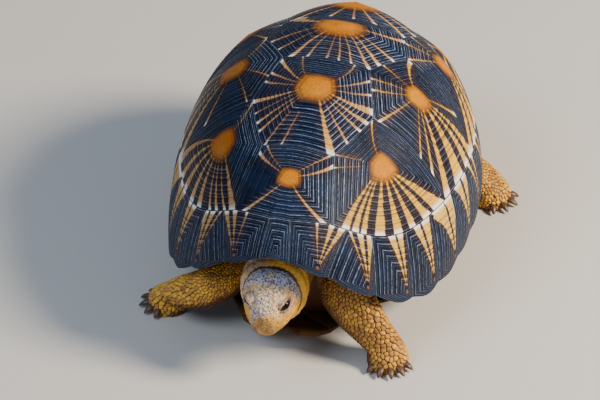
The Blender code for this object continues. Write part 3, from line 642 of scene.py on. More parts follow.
def plastronScutes(horn):
    axilla, groin = (0.062, -0.078), (0.066, 0.074)
    gularSide, femoralSide = (0.034, -0.122), (0.046, 0.117)
    rim = [dome(*polar(1.0, a)) - np.array(shellMiddle) for a in (1.17, 1.30, 1.43, 1.60, 1.77, 1.92)]
    bridge = [(r[0] - plastronForm["bridgeInset"], r[1]) for r in rim]
    halves = {
        "gular": [(0, -0.104), (0, -0.126), (0.012, -0.131), (0.025, -0.129), gularSide],
        "humeral": [(0, -0.060), (0, -0.104), gularSide, (0.044, -0.104), (0.055, -0.091), axilla],
        "pectoral": [(0, -0.038), (0, -0.060), axilla, (0.085, -0.070)] + bridge[:3],
        "abdominal": [(0, 0.052), (0, -0.038)] + bridge[2:] + [(0.088, 0.066), groin],
        "femoral": [(0, 0.094), (0, 0.052), groin, (0.061, 0.098), femoralSide],
        "anal": [(0, 0.115), (0, 0.094), femoralSide, (0.036, 0.134), (0.024, 0.138), (0.010, 0.127)],
    }
    for name, half in halves.items():
        for side, sign in (("left", 1), ("right", -1)):
            outline = [(sign * x + shellMiddle.x + sign * 0.0002, y + shellMiddle.y) for x, y in half]
            middle = np.mean(outline, axis=0)
            rays = [(a, a, 16, 0.5, 0.3) for a in (sign * 60, sign * 95, sign * 130)] if name != "gular" else []
            look = {"spokes": 90, "rings": 7, "depth": 0.00015, "hump": 0.0, "areola": 0.25, "rays": rays,
                    "lineHighlight": 0.6, "hand": -1, "slot": "plastron", "thick": 0.88}
            scute(f"{name}_{side}", outline, middle, look, horn["plastron"], (plastronUnder, plastronNormal))


print("shell")
horn = shellScutes()
plastronScutes(horn)


# the flesh: lofts rounded by subdivision, joined into one skin

skinForm = {"coatDepth": 0.0010, "headDepth": 0.0003, "legLevels": 3, "headLevels": 4}
side = Vector((1, 0, 0))


def superellipse(angle, squareness):
    c, s = math.cos(angle), math.sin(angle)
    power = 2 / squareness
    return math.copysign(abs(c) ** power, c), math.copysign(abs(s) ** power, s)


def loft(name, sections, sides, levels):
    # a section: centre, the axes across it, half width, height above and below, squareness, narrowing
    points, faces = [], []
    for centre, across, up, width, above, below, squareness, narrowing in sections:
        for i in range(sides):
            x, y = superellipse(2 * math.pi * (i + 0.5) / sides, squareness)
            x *= 1 - narrowing * max(y, 0.0) ** 0.8
            points.append(centre + across * x * width + up * y * (above if y > 0 else below) + shellMiddle)
    for row in range(len(sections) - 1):
        for i in range(sides):
            a, j = row * sides, (i + 1) % sides
            faces.append((a + i, a + j, a + sides + j, a + sides + i))
    faces.append(tuple(range(sides))[::-1])
    faces.append(tuple(range(len(points) - sides, len(points))))
    thing = meshObject(name, points, faces)
    activate(thing)
    bpy.ops.object.mode_set(mode="EDIT")
    bpy.ops.mesh.select_all(action="SELECT")
    bpy.ops.mesh.normals_make_consistent(inside=False)
    bpy.ops.object.mode_set(mode="OBJECT")
    smooth = thing.modifiers.new("smooth", "SUBSURF")
    smooth.levels = smooth.render_levels = levels
    applyAll(thing)
    return thing


# legs: stations with centre, half width the broad way and half thickness; foot with its middle,
# half length along the heading and half width; claws with their turn and length
# each leg's dark side, its inner and lower side, has darker skin and painted shade; large points to its largest
# scales
legForms = {
    "foreleg_left": {
        "stations": (((0.050, -0.076, 0.066), 0.026, 0.017), ((0.042, -0.096, 0.0615), 0.030, 0.0165),
                     ((0.041, -0.110, 0.0550), 0.0310, 0.0143), ((0.0525, -0.117, 0.0400), 0.0250, 0.0145),
                     ((0.0675, -0.121, 0.026), 0.0200, 0.013)),
        "broad": (0.80, -0.35, 0.40), "foot": (0.080, -0.124, 0.016, 0.0168), "heading": 22,
        "darkSkinAndShade": (-0.75, 0.1, -0.55), "large": (0.5, -0.8, 0.0)},
    "foreleg_right": {
        "stations": (((-0.049, -0.078, 0.058), 0.022, 0.020), ((-0.048, -0.100, 0.051), 0.022, 0.021),
                     ((-0.056, -0.114, 0.042), 0.021, 0.0190), ((-0.072, -0.114, 0.031), 0.0190, 0.0160),
                     ((-0.088, -0.107, 0.0235), 0.0175, 0.0138)),
        "broad": (-0.25, -0.85, 0.35), "foot": (-0.099, -0.098, 0.0160, 0.0160), "heading": -66,
        "darkSkinAndShade": (0.25, 0.1, -0.95), "large": (-0.3, -0.85, -0.2), "fine": 0.22,
        # on this leg painted shade reaches further up the underside, and its scales take lighter tones: painted light
        # on its top
        "darkSkinAndShadeReach": (-0.05, 0.45), "scales": {"lots": (0.30, 1.0), "stretch": 1.35}},
    "hindleg_left": {
        "stations": (((0.058, 0.084, 0.052), 0.021, 0.018), ((0.074, 0.088, 0.040), 0.021, 0.0145),
                     ((0.090, 0.091, 0.029), 0.020, 0.0120), ((0.104, 0.094, 0.022), 0.019, 0.0130)),
        "broad": (0.2, 1, 0), "foot": (0.114, 0.095, 0.0175, 0.0165), "heading": 62,
        "darkSkinAndShade": (-0.4, 0.3, -0.85), "large": (0.7, 0.0, -0.3)},
    "hindleg_right": {
        "stations": (((-0.052, 0.083, 0.052), 0.021, 0.018), ((-0.066, 0.090, 0.043), 0.021, 0.015),
                     ((-0.079, 0.096, 0.033), 0.020, 0.0125), ((-0.090, 0.100, 0.026), 0.019, 0.0145)),
        "broad": (-0.3, 1, 0), "foot": (-0.094, 0.101, 0.0175, 0.0165), "heading": -40,
        "darkSkinAndShade": (0.4, 0.3, -0.85), "large": (-0.7, 0.2, -0.3)},
}
clawTurns = {"fore": ((-54, 0.0065), (-28, 0.0075), (-2, 0.0080), (24, 0.0075), (50, 0.0065)),
             "hind": ((-42, 0.0070), (-14, 0.0078), (14, 0.0078), (42, 0.0070))}
footHeight = 0.014


def footAxes(form):
    heading = math.radians(form["heading"])
    return (Vector((math.sin(heading), -math.cos(heading), 0)), Vector((math.cos(heading), math.sin(heading), 0)),
            Vector((form["foot"][0], form["foot"][1], 0)))


def legSections(form):
    stations, broad, foot = form["stations"], Vector(form["broad"]), form["foot"]
    ahead, aside, footMiddle = footAxes(form)
    centres = [Vector(station[0]) for station in stations] + [footMiddle + Vector((0, 0, footHeight))]
    sections = []
    for i, (centre, width, thickness) in enumerate(stations):
        run = (centres[i + 1] - centres[max(i - 1, 0)]).normalized()
        across = (broad - run * broad.dot(run)).normalized()
        sections.append((centres[i], across, across.cross(run), width, thickness, thickness, 2.2, 0.0))
    last = sections[-1][1]
    turned = aside if aside.dot(last) > 0 else -aside
    forward = ahead if ahead.dot(turned.cross(Vector((0, 0, -1)))) > 0 else -ahead
    for height, grow in ((footHeight, 0.98), (0.005, 1.06), (0.0, 1.0), (0.0, 0.72)):
        sections.append((footMiddle + Vector((0, 0, height)), turned, forward, foot[3] * grow,
                         foot[2] * grow, foot[2] * grow, 2.3, 0.0))
    return sections


def legSkin(name, form):
    thing = loft(name + "_form", legSections(form), 9, skinForm["legLevels"])
    points, normals = pointsOf(thing.data), outwardNormals(thing.data)
    moved = points - normals * skinForm["coatDepth"] * blend(-0.2, 0.6, 1 + normals[:, 2:])
    moved[:, 2] = np.where(points[:, 2] < 0.0012, points[:, 2], moved[:, 2])
    moved[:, 2] = np.maximum(moved[:, 2] - points[:, 2].min(), 0.0)
    # loose folds where the leg bends and by the shell
    wave = np.sin(points[:, 0] * 520 + points[:, 1] * 300 + 3 * np.sin(points[:, 2] * 260)) * 0.00035
    high = blend(0.030, 0.055, points[:, 2])
    setPoints(thing.data, moved + normals * (wave * high)[:, None])
    return thing


headForm = {
    "length": 0.052, "width": 0.0465, "height": 0.0360, "pitch": 22, "rear": (-0.0047, -0.1310, 0.0790),
    "eyeRadius": 0.0057, "eyePlace": (0.0325, 0.0122, 0.0072),
    "lid": 0.0006, "lidReach": 0.0088, "slitLength": 0.0058, "slitHeights": (0.0009, 0.0004), "slitTilt": -12,
    # share of the length, half width, above, below, raised, squareness, narrowing
    "sections": ((0.00, 0.82, 0.82, 0.85, 0.000, 2.2, 0.10), (0.13, 0.96, 0.96, 0.97, 0.000, 2.4, 0.12),
                 (0.31, 1.02, 1.01, 1.02, 0.000, 2.5, 0.18), (0.50, 1.00, 1.02, 1.02, 0.000, 2.5, 0.30),
                 (0.67, 0.90, 0.96, 0.97, -0.0010, 2.4, 0.38), (0.82, 0.68, 0.82, 0.89, -0.0020, 2.3, 0.36),
                 (0.94, 0.41, 0.58, 0.74, -0.0035, 2.2, 0.22), (1.00, 0.22, 0.28, 0.48, -0.0050, 2.0, 0.10)),
}
headPitch = math.radians(headForm["pitch"])
headForward = Vector((0, -math.cos(headPitch), -math.sin(headPitch)))
headUp = Vector((0, -math.sin(headPitch), math.cos(headPitch)))
headRear = Vector(headForm["rear"])
headAxes = np.array([headForward, side, headUp])       # forward, to the left and up


def inHead(points):
    return (np.asarray(points) - np.array(headRear + shellMiddle)) @ headAxes.T


def fromHead(local):
    return local @ headAxes + np.array(headRear + shellMiddle)


def eyeAxes(sign):
    # out of the socket, along the slit towards the rear, and across the slit
    out = Vector((0.46, 0.57, 0.68) if sign > 0 else (0.24, -0.87, 0.43)).normalized()
    along = Vector((-1, 0, 0)) - out * Vector((-1, 0, 0)).dot(out)
    along.normalize()
    tilt = Matrix.Rotation(math.radians(sign * headForm["slitTilt"]), 3, out)
    along = tilt @ along
    return np.array(out), np.array(along), np.array(out.cross(along))


def bumpAt(local, place, radius):
    away = np.linalg.norm((local - np.array(place)), axis=1)
    return np.exp(-(away / radius) ** 2)


def mouthLine(forward):
    # height of the edge of the beak: hooked in front, and rising a little towards the cheek
    return -0.0098 + 0.0030 * blend(0.050, 0.034, forward) - 0.0012 * blend(0.0475, 0.0525, forward)


def shapeHead(thing):
    mesh = thing.data
    local, normals = inHead(pointsOf(mesh)), outwardNormals(mesh) @ headAxes.T
    forward, aside, up = local.T
    amount = np.full(len(local), -skinForm["headDepth"])
    # brow ridge over each eye, a dip between them, full cheeks and a snout that drops to the beak
    for sign in (-1, 1):
        amount += 0.0010 * bumpAt(local, (0.030, sign * 0.0125, 0.0150), 0.0060)
        amount += 0.0012 * bumpAt(local, (0.0165, sign * 0.0215, -0.0020), 0.0085)
        amount -= 0.0008 * bumpAt(local, (0.041, sign * 0.0120, 0.0030), 0.0040)
    amount -= 0.0010 * bumpAt(local, (0.036, 0.0, 0.0150), 0.0065)
    amount += 0.0008 * bumpAt(local, (0.044, 0.0, 0.0090), 0.0045)
    beyondBeak = forward + 0.25 * np.maximum(-up, 0) - 0.0460
    amount -= 0.0005 * np.exp(-(beyondBeak / 0.0009) ** 2) * blend(-0.006, -0.001, up)
    # the mouth: a groove below the beak's edge, the lower jaw set back under it
    line = mouthLine(forward)
    front = blend(0.022, 0.031, forward)
    amount -= 0.0011 * np.exp(-((up - line + 0.0002) / 0.00055) ** 2) * front
    below = blend(line + 0.0002, line - 0.0004, up)
    amount -= 0.0008 * below * blend(0.026, 0.040, forward) * blend(-0.019, -0.012, up)
    amount += 0.0004 * np.exp(-((up - line - 0.0016) / 0.0010) ** 2) * blend(0.034, 0.042, forward)
    # nostrils
    for sign in (-1, 1):
        amount -= 0.0017 * bumpAt(local, (0.0472, sign * 0.0023, 0.0066), 0.00105)
        amount += 0.0004 * bumpAt(local, (0.0462, sign * 0.0024, 0.0080), 0.0015)
    # fine folds on the cheek and throat
    folds = np.sin(forward * 1500 + up * 500 + 2 * np.sin(up * 700)) * 0.00012
    amount += folds * blend(-0.004, -0.012, up) * blend(0.036, 0.026, forward)
    local = local + normals * amount[:, None]
    eye = headForm["eyePlace"]
    for sign in (-1, 1):
        middle = np.array((eye[0], sign * eye[1], eye[2]))
        out, along, across = eyeAxes(sign)
        off = local - middle
        length = np.linalg.norm(off, axis=1)
        facing = off @ out
        a, b = off @ along, off @ across
        lateral = np.hypot(a, b)
        outer = blend(-0.0012, 0.0016, facing)
        lidRadius = headForm["eyeRadius"] + headForm["lid"]
        opening = headForm["slitHeights"][sign < 0] * np.clip(1 - (a / headForm["slitLength"]) ** 2, 0, 1) ** 0.8
        inSlit = blend(opening + 0.0002, opening - 0.0001, np.abs(b)) * (np.abs(a) < headForm["slitLength"])
        target = np.full(len(local), lidRadius)
        target += 0.00040 * np.exp(-((np.abs(b) - opening - 0.0006) / 0.0005) ** 2) * (np.abs(a) < 0.0066)
        for fold in (0.0019, 0.0031, 0.0042):
            target -= 0.00022 * np.exp(-((np.abs(b) - opening - fold) / 0.00028) ** 2)
        target = target * (1 - inSlit) + 0.0046 * inSlit
        weight = blend(0.0078, 0.0056, lateral) * outer
        new = length + (target - length) * weight
        new = new - 0.0003 * np.exp(-((lateral - 0.0076) / 0.0010) ** 2) * outer
        local = middle + off * (new / np.maximum(length, 1e-6))[:, None]
    setPoints(mesh, fromHead(local))


def refine(thing, keep):
    # divides the faces whose middle keep() picks
    activate(thing)
    mesh = thing.data
    centres = pointsOf(mesh, "polygons", "center")
    mesh.polygons.foreach_set("select", keep(centres))
    bpy.ops.object.mode_set(mode="EDIT")
    bpy.ops.mesh.select_mode(type="FACE")
    bpy.ops.mesh.subdivide(number_cuts=1, smoothness=0.0, quadcorner="INNERVERT")
    bpy.ops.object.mode_set(mode="OBJECT")


def headSkin():
    form = headForm
    sections = []
    for share, width, above, below, raised, squareness, narrowing in form["sections"]:
        centre = headRear + headForward * form["length"] * share + headUp * raised
        sections.append((centre, side, headUp, width * form["width"] / 2, above * form["height"] / 2,
                         below * form["height"] / 2, squareness, narrowing))
    thing = loft("head_form", sections, 12, skinForm["headLevels"])

    def byFace(centres):
        local = inHead(centres)
        nearEye = np.minimum(*(np.linalg.norm(local - np.array((0.0345, s * 0.0165, 0.0100)), axis=1)
                               for s in (-1, 1))) < 0.0088
        mouth = (local[:, 0] > 0.028) & (np.abs(local[:, 2] - mouthLine(local[:, 0])) < 0.0022)
        nose = (local[:, 0] > 0.0435) & (local[:, 2] > -0.004)
        return nearEye | mouth | nose

    refine(thing, byFace)
    shapeHead(thing)
    return thing


# the neck and its hood: centre, turn of the section up from the head's own, half width, half height
neckForm = {
    "pocket": (((0.000, -0.086, 0.084), 22, 0.028, 0.025), ((-0.003, -0.108, 0.084), 22, 0.028, 0.025)),
    "hood": (((0.001, -0.001), 14, 0.0272, 0.0245), ((0.012, -0.0028), 26, 0.0284, 0.0266),
             ((0.019, -0.0030), 32, 0.0278, 0.0262), ((0.0225, -0.0025), 32, 0.0245, 0.0228),
             ((0.0200, -0.0025), 32, 0.0205, 0.0190)),      # the last one folds back inside
    "fold": 0.00040, "pucker": 0.00018,
}


def neckSkin():
    sections = []
    placed = [(Vector(centre), *rest) for centre, *rest in neckForm["pocket"]]
    placed += [(headRear + headForward * ahead + headUp * up, *rest) for (ahead, up), *rest in neckForm["hood"]]
    for centre, turn, width, height in placed:
        forward = headForward * math.cos(math.radians(turn)) + headUp * math.sin(math.radians(turn))
        sections.append((centre, side, -side.cross(forward).normalized(), width, height, height, 2.1, 0.0))
    thing = loft("neck_form", sections, 10, 4)
    mesh = thing.data
    points, normals = pointsOf(mesh), outwardNormals(mesh)
    forward, aside, up = inHead(points).T
    along = forward * 0.87 + up * 0.48        # across the hood, square to its lip
    turn = np.arctan2(aside, up)
    # the hood is loose: folds run round it, and it wrinkles where it leans on the head
    fold = neckForm["fold"] * np.sin(along * 1150 + 0.8 * np.sin(turn * 3) + 0.5 * np.sin(turn * 7))
    pucker = neckForm["pucker"] * np.sin(turn * 30 + 2.0 * np.sin(along * 380)) * blend(0.004, 0.014, along)
    amount = fold * blend(-0.030, -0.012, along) + pucker - 0.0007
    setPoints(mesh, points + normals * amount[:, None])
    return thing


def tailSkin():
    course = (((0.002, 0.094, 0.062), 0.015, 0.013), ((0.004, 0.112, 0.056), 0.013, 0.011),
              ((0.009, 0.126, 0.047), 0.0095, 0.0085), ((0.015, 0.138, 0.038), 0.0060, 0.0055),
              ((0.021, 0.145, 0.031), 0.0026, 0.0024))
    centres = [Vector(centre) for centre, width, height in course]
    sections = []
    for i, (centre, width, height) in enumerate(course):
        run = (centres[min(i + 1, len(course) - 1)] - centres[max(i - 1, 0)]).normalized()
        up = side.cross(run).normalized()
        sections.append((centres[i], -up.cross(run), up, width - 0.0006, height - 0.0006, height - 0.0006, 2.0, 0.0))
    return loft("tail_form", sections, 8, 3)


def trunkSkin():
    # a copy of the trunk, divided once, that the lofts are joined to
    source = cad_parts["trunk"]
    mesh = source.data.copy()
    thing = bpy.data.objects.new("trunk_form", mesh)
    bpy.context.scene.collection.objects.link(thing)
    mesh.materials.clear()
    activate(thing)
    bpy.ops.object.mode_set(mode="EDIT")
    bpy.ops.mesh.select_all(action="SELECT")
    bpy.ops.mesh.remove_doubles(threshold=0.00001)
    bpy.ops.mesh.normals_make_consistent(inside=False)
    bpy.ops.mesh.subdivide(number_cuts=1)
    bpy.ops.object.mode_set(mode="OBJECT")
    return thing


partSurfaces = []      # what each part's own surface was, to tell later which part a place is on


def joinSkin():
    body = trunkSkin()
    parts = [legSkin(name, form) for name, form in legForms.items()] + [headSkin(), neckSkin(), tailSkin()]
    for part in parts + [body]:
        partSurfaces.append(BVHTree.FromPolygons([v.co for v in part.data.vertices],
                                                 [tuple(f.vertices) for f in part.data.polygons]))
    for part in parts:
        activate(body)
        union = body.modifiers.new("union", "BOOLEAN")
        union.operation, union.solver, union.object = "UNION", "EXACT", part
        bpy.ops.object.modifier_apply(modifier=union.name)
        bpy.data.objects.remove(part, do_unlink=True)
    body.name = body.data.name = "skin"
    body.data.polygons.foreach_set("use_smooth", [True] * len(body.data.polygons))
    return body


print("skin")
skin = joinSkin()
print("skin faces", len(skin.data.polygons))
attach(skin, "root")
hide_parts("head", "neck", "trunk", "tail", *legForms)


# markings shared by the skin and the scales: how dark (darker skin and painted shade), slate, cream and horny each
# place is

def legPlace(points, form):
    # distance from the leg's middle line, share of the way down it, direction of its run and turn round it
    centres = [Vector(station[0]) for station in form["stations"]]
    centres += [Vector((form["foot"][0], form["foot"][1], footHeight)), Vector((form["foot"][0], form["foot"][1], 0))]
    line = np.array([centre + shellMiddle for centre in centres])
    best = np.full(len(points), 9.0)
    share, run = np.zeros(len(points)), np.zeros((len(points), 3))
    lengths = np.linalg.norm(np.diff(line, axis=0), axis=1)
    reached = np.concatenate([[0], np.cumsum(lengths)])
    for i, length in enumerate(lengths):
        way = (line[i + 1] - line[i]) / length
        t = np.clip((points - line[i]) @ way, 0, length)
        away = np.linalg.norm(points - line[i] - t[:, None] * way, axis=1)
        nearer = away < best
        best[nearer], run[nearer] = away[nearer], way
        share[nearer] = (reached[i] + t[nearer]) / reached[-1]
    axis = Vector(line[-2] - line[0]).normalized()
    across = axis.cross(Vector(form["broad"])).normalized()
    up = across.cross(axis)
    middle = line[0] + alongAxis(points - line[0], np.array(axis))
    turn = np.arctan2((points - middle) @ np.array(up), (points - middle) @ np.array(across))
    return best, share, run, turn


def alongAxis(off, axis):
    return (off @ axis)[:, None] * axis


def distancesTo(number, points):
    return np.array([partSurfaces[number].find_nearest(point)[3] for point in points])


def regionOf(points):
    # 0 to 3 the legs, 4 head, 5 neck and hood, 6 tail, 7 trunk
    return np.argmin([distancesTo(number, points) for number in range(len(partSurfaces))], axis=0)


# how dark the lids are, left (1) and right (-1), with painted shadow along the slit and painted shade over the lids;
# the right eye is nearly shut, and its lids are greyer and darker: painted shade on the head's right side
lidTones = {1: {"slate": 0.35, "rim": 0.85, "darkSkinAndShade": 0.0, "noCream": 0.3},
            -1: {"slate": 0.65, "rim": 0.4, "darkSkinAndShade": 0.28, "noCream": 0.7}}


def hideMarks(points, normals):
    region = regionOf(points)
    darkSkinAndShade, slate, cream, horny = (np.zeros(len(points)) for i in range(4))
    for i, form in enumerate(legForms.values()):
        mine = region == i
        # darker skin and painted shade on each leg's inner and lower side
        toward = np.array(Vector(form["darkSkinAndShade"]).normalized())
        darkSkinAndShade[mine] = blend(*form.get("darkSkinAndShadeReach", (0.05, 0.75)), normals[mine] @ toward)
        # painted contact shadow near the floor
        darkSkinAndShade[mine] = np.maximum(darkSkinAndShade[mine], 0.75 * blend(0.004, 0.0005, points[mine, 2]))
    local, facing = inHead(points), normals @ headAxes.T
    forward, aside, up = local.T
    crown = blend(0.05, 0.50, facing[:, 2])
    head, hood = region == 4, region == 5
    uneven = 0.0010 * np.sin(aside * 420 + 1.3) + 0.0005 * np.sin(aside * 1100 + forward * 400)
    ahead = forward + uneven
    # a dark crown whose lavender grey is partly painted sky light, cream between and before the eyes, a grey band
    # over the snout set to its right: painted shade, then the horn of the beak
    snout = (blend(0.0280, 0.0350, ahead) * blend(0.0495, 0.0450, ahead)
             * blend(0.0100, 0.0050, np.abs(aside + 0.0040)))
    slate[head] = np.maximum(crown * blend(0.0285, 0.0195, ahead), 0.75 * snout)[head]
    cream[head] = (blend(0.0185, 0.0270, ahead) * blend(0.0465, 0.0405, ahead) * blend(0.0005, 0.0060, up)
                   * blend(0.0158, 0.0105, np.abs(aside)) * 0.85)[head]
    for sign in (-1, 1):
        middle = np.array(headForm["eyePlace"]) * (1, sign, 1)
        out, along, across = eyeAxes(sign)
        off = local - middle
        lids = blend(0.0084, 0.0068, np.linalg.norm(off, axis=1))
        # painted shadow of the lids along the slit
        rim = lids * np.exp(-(off @ across / 0.0023) ** 2) * blend(0.0078, 0.0056, np.abs(off @ along - 0.0010))
        tone = lidTones[sign]
        slate[head] = np.maximum(slate, lids * tone["slate"])[head]
        darkSkinAndShade[head] = np.maximum(darkSkinAndShade, np.maximum(tone["rim"] * rim, tone["darkSkinAndShade"] * lids))[head]
        cream[head] = (cream * (1 - np.maximum(0.8 * rim, tone["noCream"] * lids)))[head]
        if sign > 0:
            # a purplish grey patch of the lid with painted shade at the rear end of the slit
            lidGreyAndShade = np.exp(-((off @ along - 0.0058) / 0.0040) ** 2 - (off @ across / 0.0034) ** 2) * (off @ out > 0)
            slate[head] = np.maximum(slate, lidGreyAndShade * 0.9)[head]
            darkSkinAndShade[head] = np.maximum(darkSkinAndShade, lidGreyAndShade * 0.60)[head]
            cream[head] = (cream * (1 - lidGreyAndShade))[head]
    line = mouthLine(forward)
    beak = blend(0.0428, 0.0500, ahead + 0.25 * np.maximum(-up, 0)) * blend(0.0090, 0.0060, up)
    jaw = blend(0.0034, 0.0024, np.abs(up - line)) * blend(0.030, 0.035, forward)
    horny[head] = np.maximum(beak, jaw)[head]
    # the loose skin is yellow, and greyer on the right: painted shade on the side away from the key light
    slate[hood] = (0.50 * blend(0.004, -0.016, aside))[hood]
    # painted shade on the hood away from its lip, under the shell's rim
    behindLip = blend(0.0090, 0.0030, forward * 0.85 + up * 0.53)
    # darker where head and hood face down: partly darker skin, partly painted shade
    throat = blend(-0.2, -0.8, facing[:, 2])
    darkSkinAndShade[head | hood] = np.maximum(darkSkinAndShade, throat * 0.8)[head | hood]
    darkSkinAndShade[hood] = np.maximum(darkSkinAndShade, 0.75 * behindLip)[hood]
    # painted shade in the crease between head and hood
    for mine, other, reach in ((hood, 4, 0.0007), (head, 5, 0.0006)):
        crease = np.exp(-(distancesTo(other, points[mine]) / reach) ** 2)
        darkSkinAndShade[mine] = np.maximum(darkSkinAndShade[mine], crease)
    # painted shade over the trunk inside the shell, and on the tail's underside
    darkSkinAndShade[region == 7] = 0.85
    darkSkinAndShade[region == 6] = blend(-0.1, -0.8, normals[region == 6][:, 2]) * 0.6
    return np.stack([darkSkinAndShade, slate, cream, horny], -1)


hideLook = {
    "tan": (0.33, 0.145, 0.036), "yellow": (0.62, 0.31, 0.055), "light": (0.98, 0.53, 0.045),
    "groove": (0.075, 0.024, 0.009), "darkSkinAndShade": (0.045, 0.013, 0.007), "darkScaleAndShade": (0.12, 0.040, 0.018),
    "slate": (0.25, 0.245, 0.325), "slate2": (0.68, 0.64, 0.74), "speck": (0.016, 0.015, 0.018),
    "cream": (0.93, 0.69, 0.40), "horn": (0.20, 0.088, 0.024), "horn2": (0.52, 0.28, 0.072),
}


def hideMaterial():
    look = hideLook
    material, tree, shader = newMaterial("tortoiseHide", 0.6)
    shader.inputs["Specular IOR Level"].default_value = 0.35
    place = objectPlace(tree)
    marks = addNode(tree, "ShaderNodeAttribute", {}, "Color", attribute_name="marks")
    parts = addNode(tree, "ShaderNodeSeparateColor", {0: marks}).node
    darkSkinAndShade, slate, cream = parts.outputs
    horny = attribute(tree, "marks", "Alpha")
    height, lot = attribute(tree, "height"), attribute(tree, "lot")
    clouds = noiseOf(tree, place, 90.0, 4.0, 0.6)
    mottle = noiseOf(tree, place, 420.0, 4.0, 0.65)
    specks = cells(tree, place, 900.0)
    colour = mix(tree, step(tree, clouds, 0.35, 0.68), look["tan"], look["yellow"])
    colour = mix(tree, calc(tree, "MULTIPLY", step(tree, lot, 0.45, 1.0), 0.75), colour, look["light"])
    colour = mix(tree, calc(tree, "MULTIPLY", step(tree, lot, 0.22, 0.0), 0.55), colour, look["darkScaleAndShade"])
    colour = mix(tree, calc(tree, "MULTIPLY", step(tree, mottle, 0.50, 0.75), 0.35), colour, look["light"])
    # the crown, dark with lavender grey that is partly painted sky light, dark specks, and the cream band
    grey = mix(tree, step(tree, mottle, 0.36, 0.62), look["slate"], look["slate2"])
    freckles = calc(tree, "MULTIPLY", step(tree, noiseOf(tree, place, 210.0, 4.0), 0.51, 0.61), 0.78)
    grey = mix(tree, freckles, grey, look["cream"])
    colour = mix(tree, slate, colour, grey)
    pale = mix(tree, step(tree, mottle, 0.40, 0.60), mix(tree, 0.5, grey, look["yellow"]), look["cream"])
    patchy = mix(tree, step(tree, mottle, 0.42, 0.60), grey, look["cream"])
    pale = mix(tree, calc(tree, "MULTIPLY", slate, 0.9), pale, patchy)
    colour = mix(tree, cream, colour, pale)
    spots = cells(tree, place, 560.0)
    dark = calc(tree, "MULTIPLY", step(tree, spots, 0.46, 0.24), step(tree, noiseOf(tree, place, 240.0), 0.35, 0.47))
    dark = calc(tree, "MULTIPLY", dark, 0.92)
    colour = mix(tree, calc(tree, "MULTIPLY", dark, calc(tree, "MAXIMUM", slate, cream)), colour, look["speck"])
    keratin = mix(tree, step(tree, noiseOf(tree, place, 160.0, 5.0, 0.7), 0.35, 0.65), look["horn"], look["horn2"])
    keratin = mix(tree, calc(tree, "MULTIPLY", step(tree, spots, 0.34, 0.18), 0.8), keratin, look["groove"])
    keratin = mix(tree, step(tree, mottle, 0.56, 0.72), keratin, look["light"])
    colour = mix(tree, horny, colour, keratin)
    # darker skin and painted shade where the marks ask for it, and dark lines between scales
    shade = mix(tree, step(tree, mottle, 0.35, 0.7), look["darkSkinAndShade"], look["darkScaleAndShade"])
    colour = mix(tree, darkSkinAndShade, colour, shade)
    low = calc(tree, "MULTIPLY", step(tree, height, 0.60, 0.05), calc(tree, "SUBTRACT", 1.0, horny))
    soft = calc(tree, "SUBTRACT", 1.0, calc(tree, "MULTIPLY", calc(tree, "MAXIMUM", slate, cream), 0.30))
    colour = mix(tree, calc(tree, "MULTIPLY", low, soft), colour, look["groove"])
    tree.links.new(colour, shader.inputs["Base Color"])
    rough = addNode(tree, "ShaderNodeMapRange", {0: mottle, 1: 0.3, 2: 0.7, 3: 0.46, 4: 0.70})
    tree.links.new(rough, shader.inputs["Roughness"])
    fine = calc(tree, "ADD", mottle, calc(tree, "MULTIPLY", specks, 0.8))
    bump(tree, shader, fine, 0.00016, 0.7)
    return material


print("markings")
hide = hideMaterial()


def mark(thing, marks, height, lot):
    mesh = thing.data
    mesh.materials.clear()
    mesh.materials.append(hide)
    store(mesh, "marks", "FLOAT_COLOR", marks)
    store(mesh, "height", "FLOAT", height)
    store(mesh, "lot", "FLOAT", lot)


skinPoints, skinNormals = pointsOf(skin.data), outwardNormals(skin.data)
skinRegion = regionOf(skinPoints)
# skin under the scales takes the groove colour; the trunk, inside the shell, mostly takes it too: painted shade
bare = np.where(skinRegion >= 4, 0.55, 0.0)
bare[skinRegion == 7] = 0.2
mark(skin, hideMarks(skinPoints, skinNormals), bare,
     np.select([skinRegion == 5, skinRegion == 4], [0.95, 0.75], 0.35))


# scales: domed plates, packed like cells, each tipped up towards the way it lies

def skinSamples(mesh, wanted, spacing):
    mesh.calc_loop_triangles()
    corners = np.empty(len(mesh.loop_triangles) * 3, np.int32)
    mesh.loop_triangles.foreach_get("vertices", corners)
    corners = corners.reshape(-1, 3)
    corners = corners[wanted[corners].all(axis=1)]
    a, b, c = (skinPoints[corners[:, k]] for k in range(3))
    area = np.linalg.norm(np.cross(b - a, c - a), axis=1) / 2
    count = int(area.sum() / (0.28 * spacing) ** 2)
    picks = chance.choice(len(area), count, p=area / area.sum())
    u, v = chance.random(count), chance.random(count)
    fold = u + v > 1
    u[fold], v[fold] = 1 - u[fold], 1 - v[fold]
    corner = corners[picks]
    weights = np.stack([1 - u - v, u, v], -1)[..., None]
    points = (skinPoints[corner] * weights).sum(1)
    normals = (skinNormals[corner] * weights).sum(1)
    return points, normals / np.linalg.norm(normals, axis=1, keepdims=True)


def treeOf(points):
    tree = kdtree.KDTree(len(points))
    for i, point in enumerate(points):
        tree.insert(point, i)
    tree.balance()
    return tree


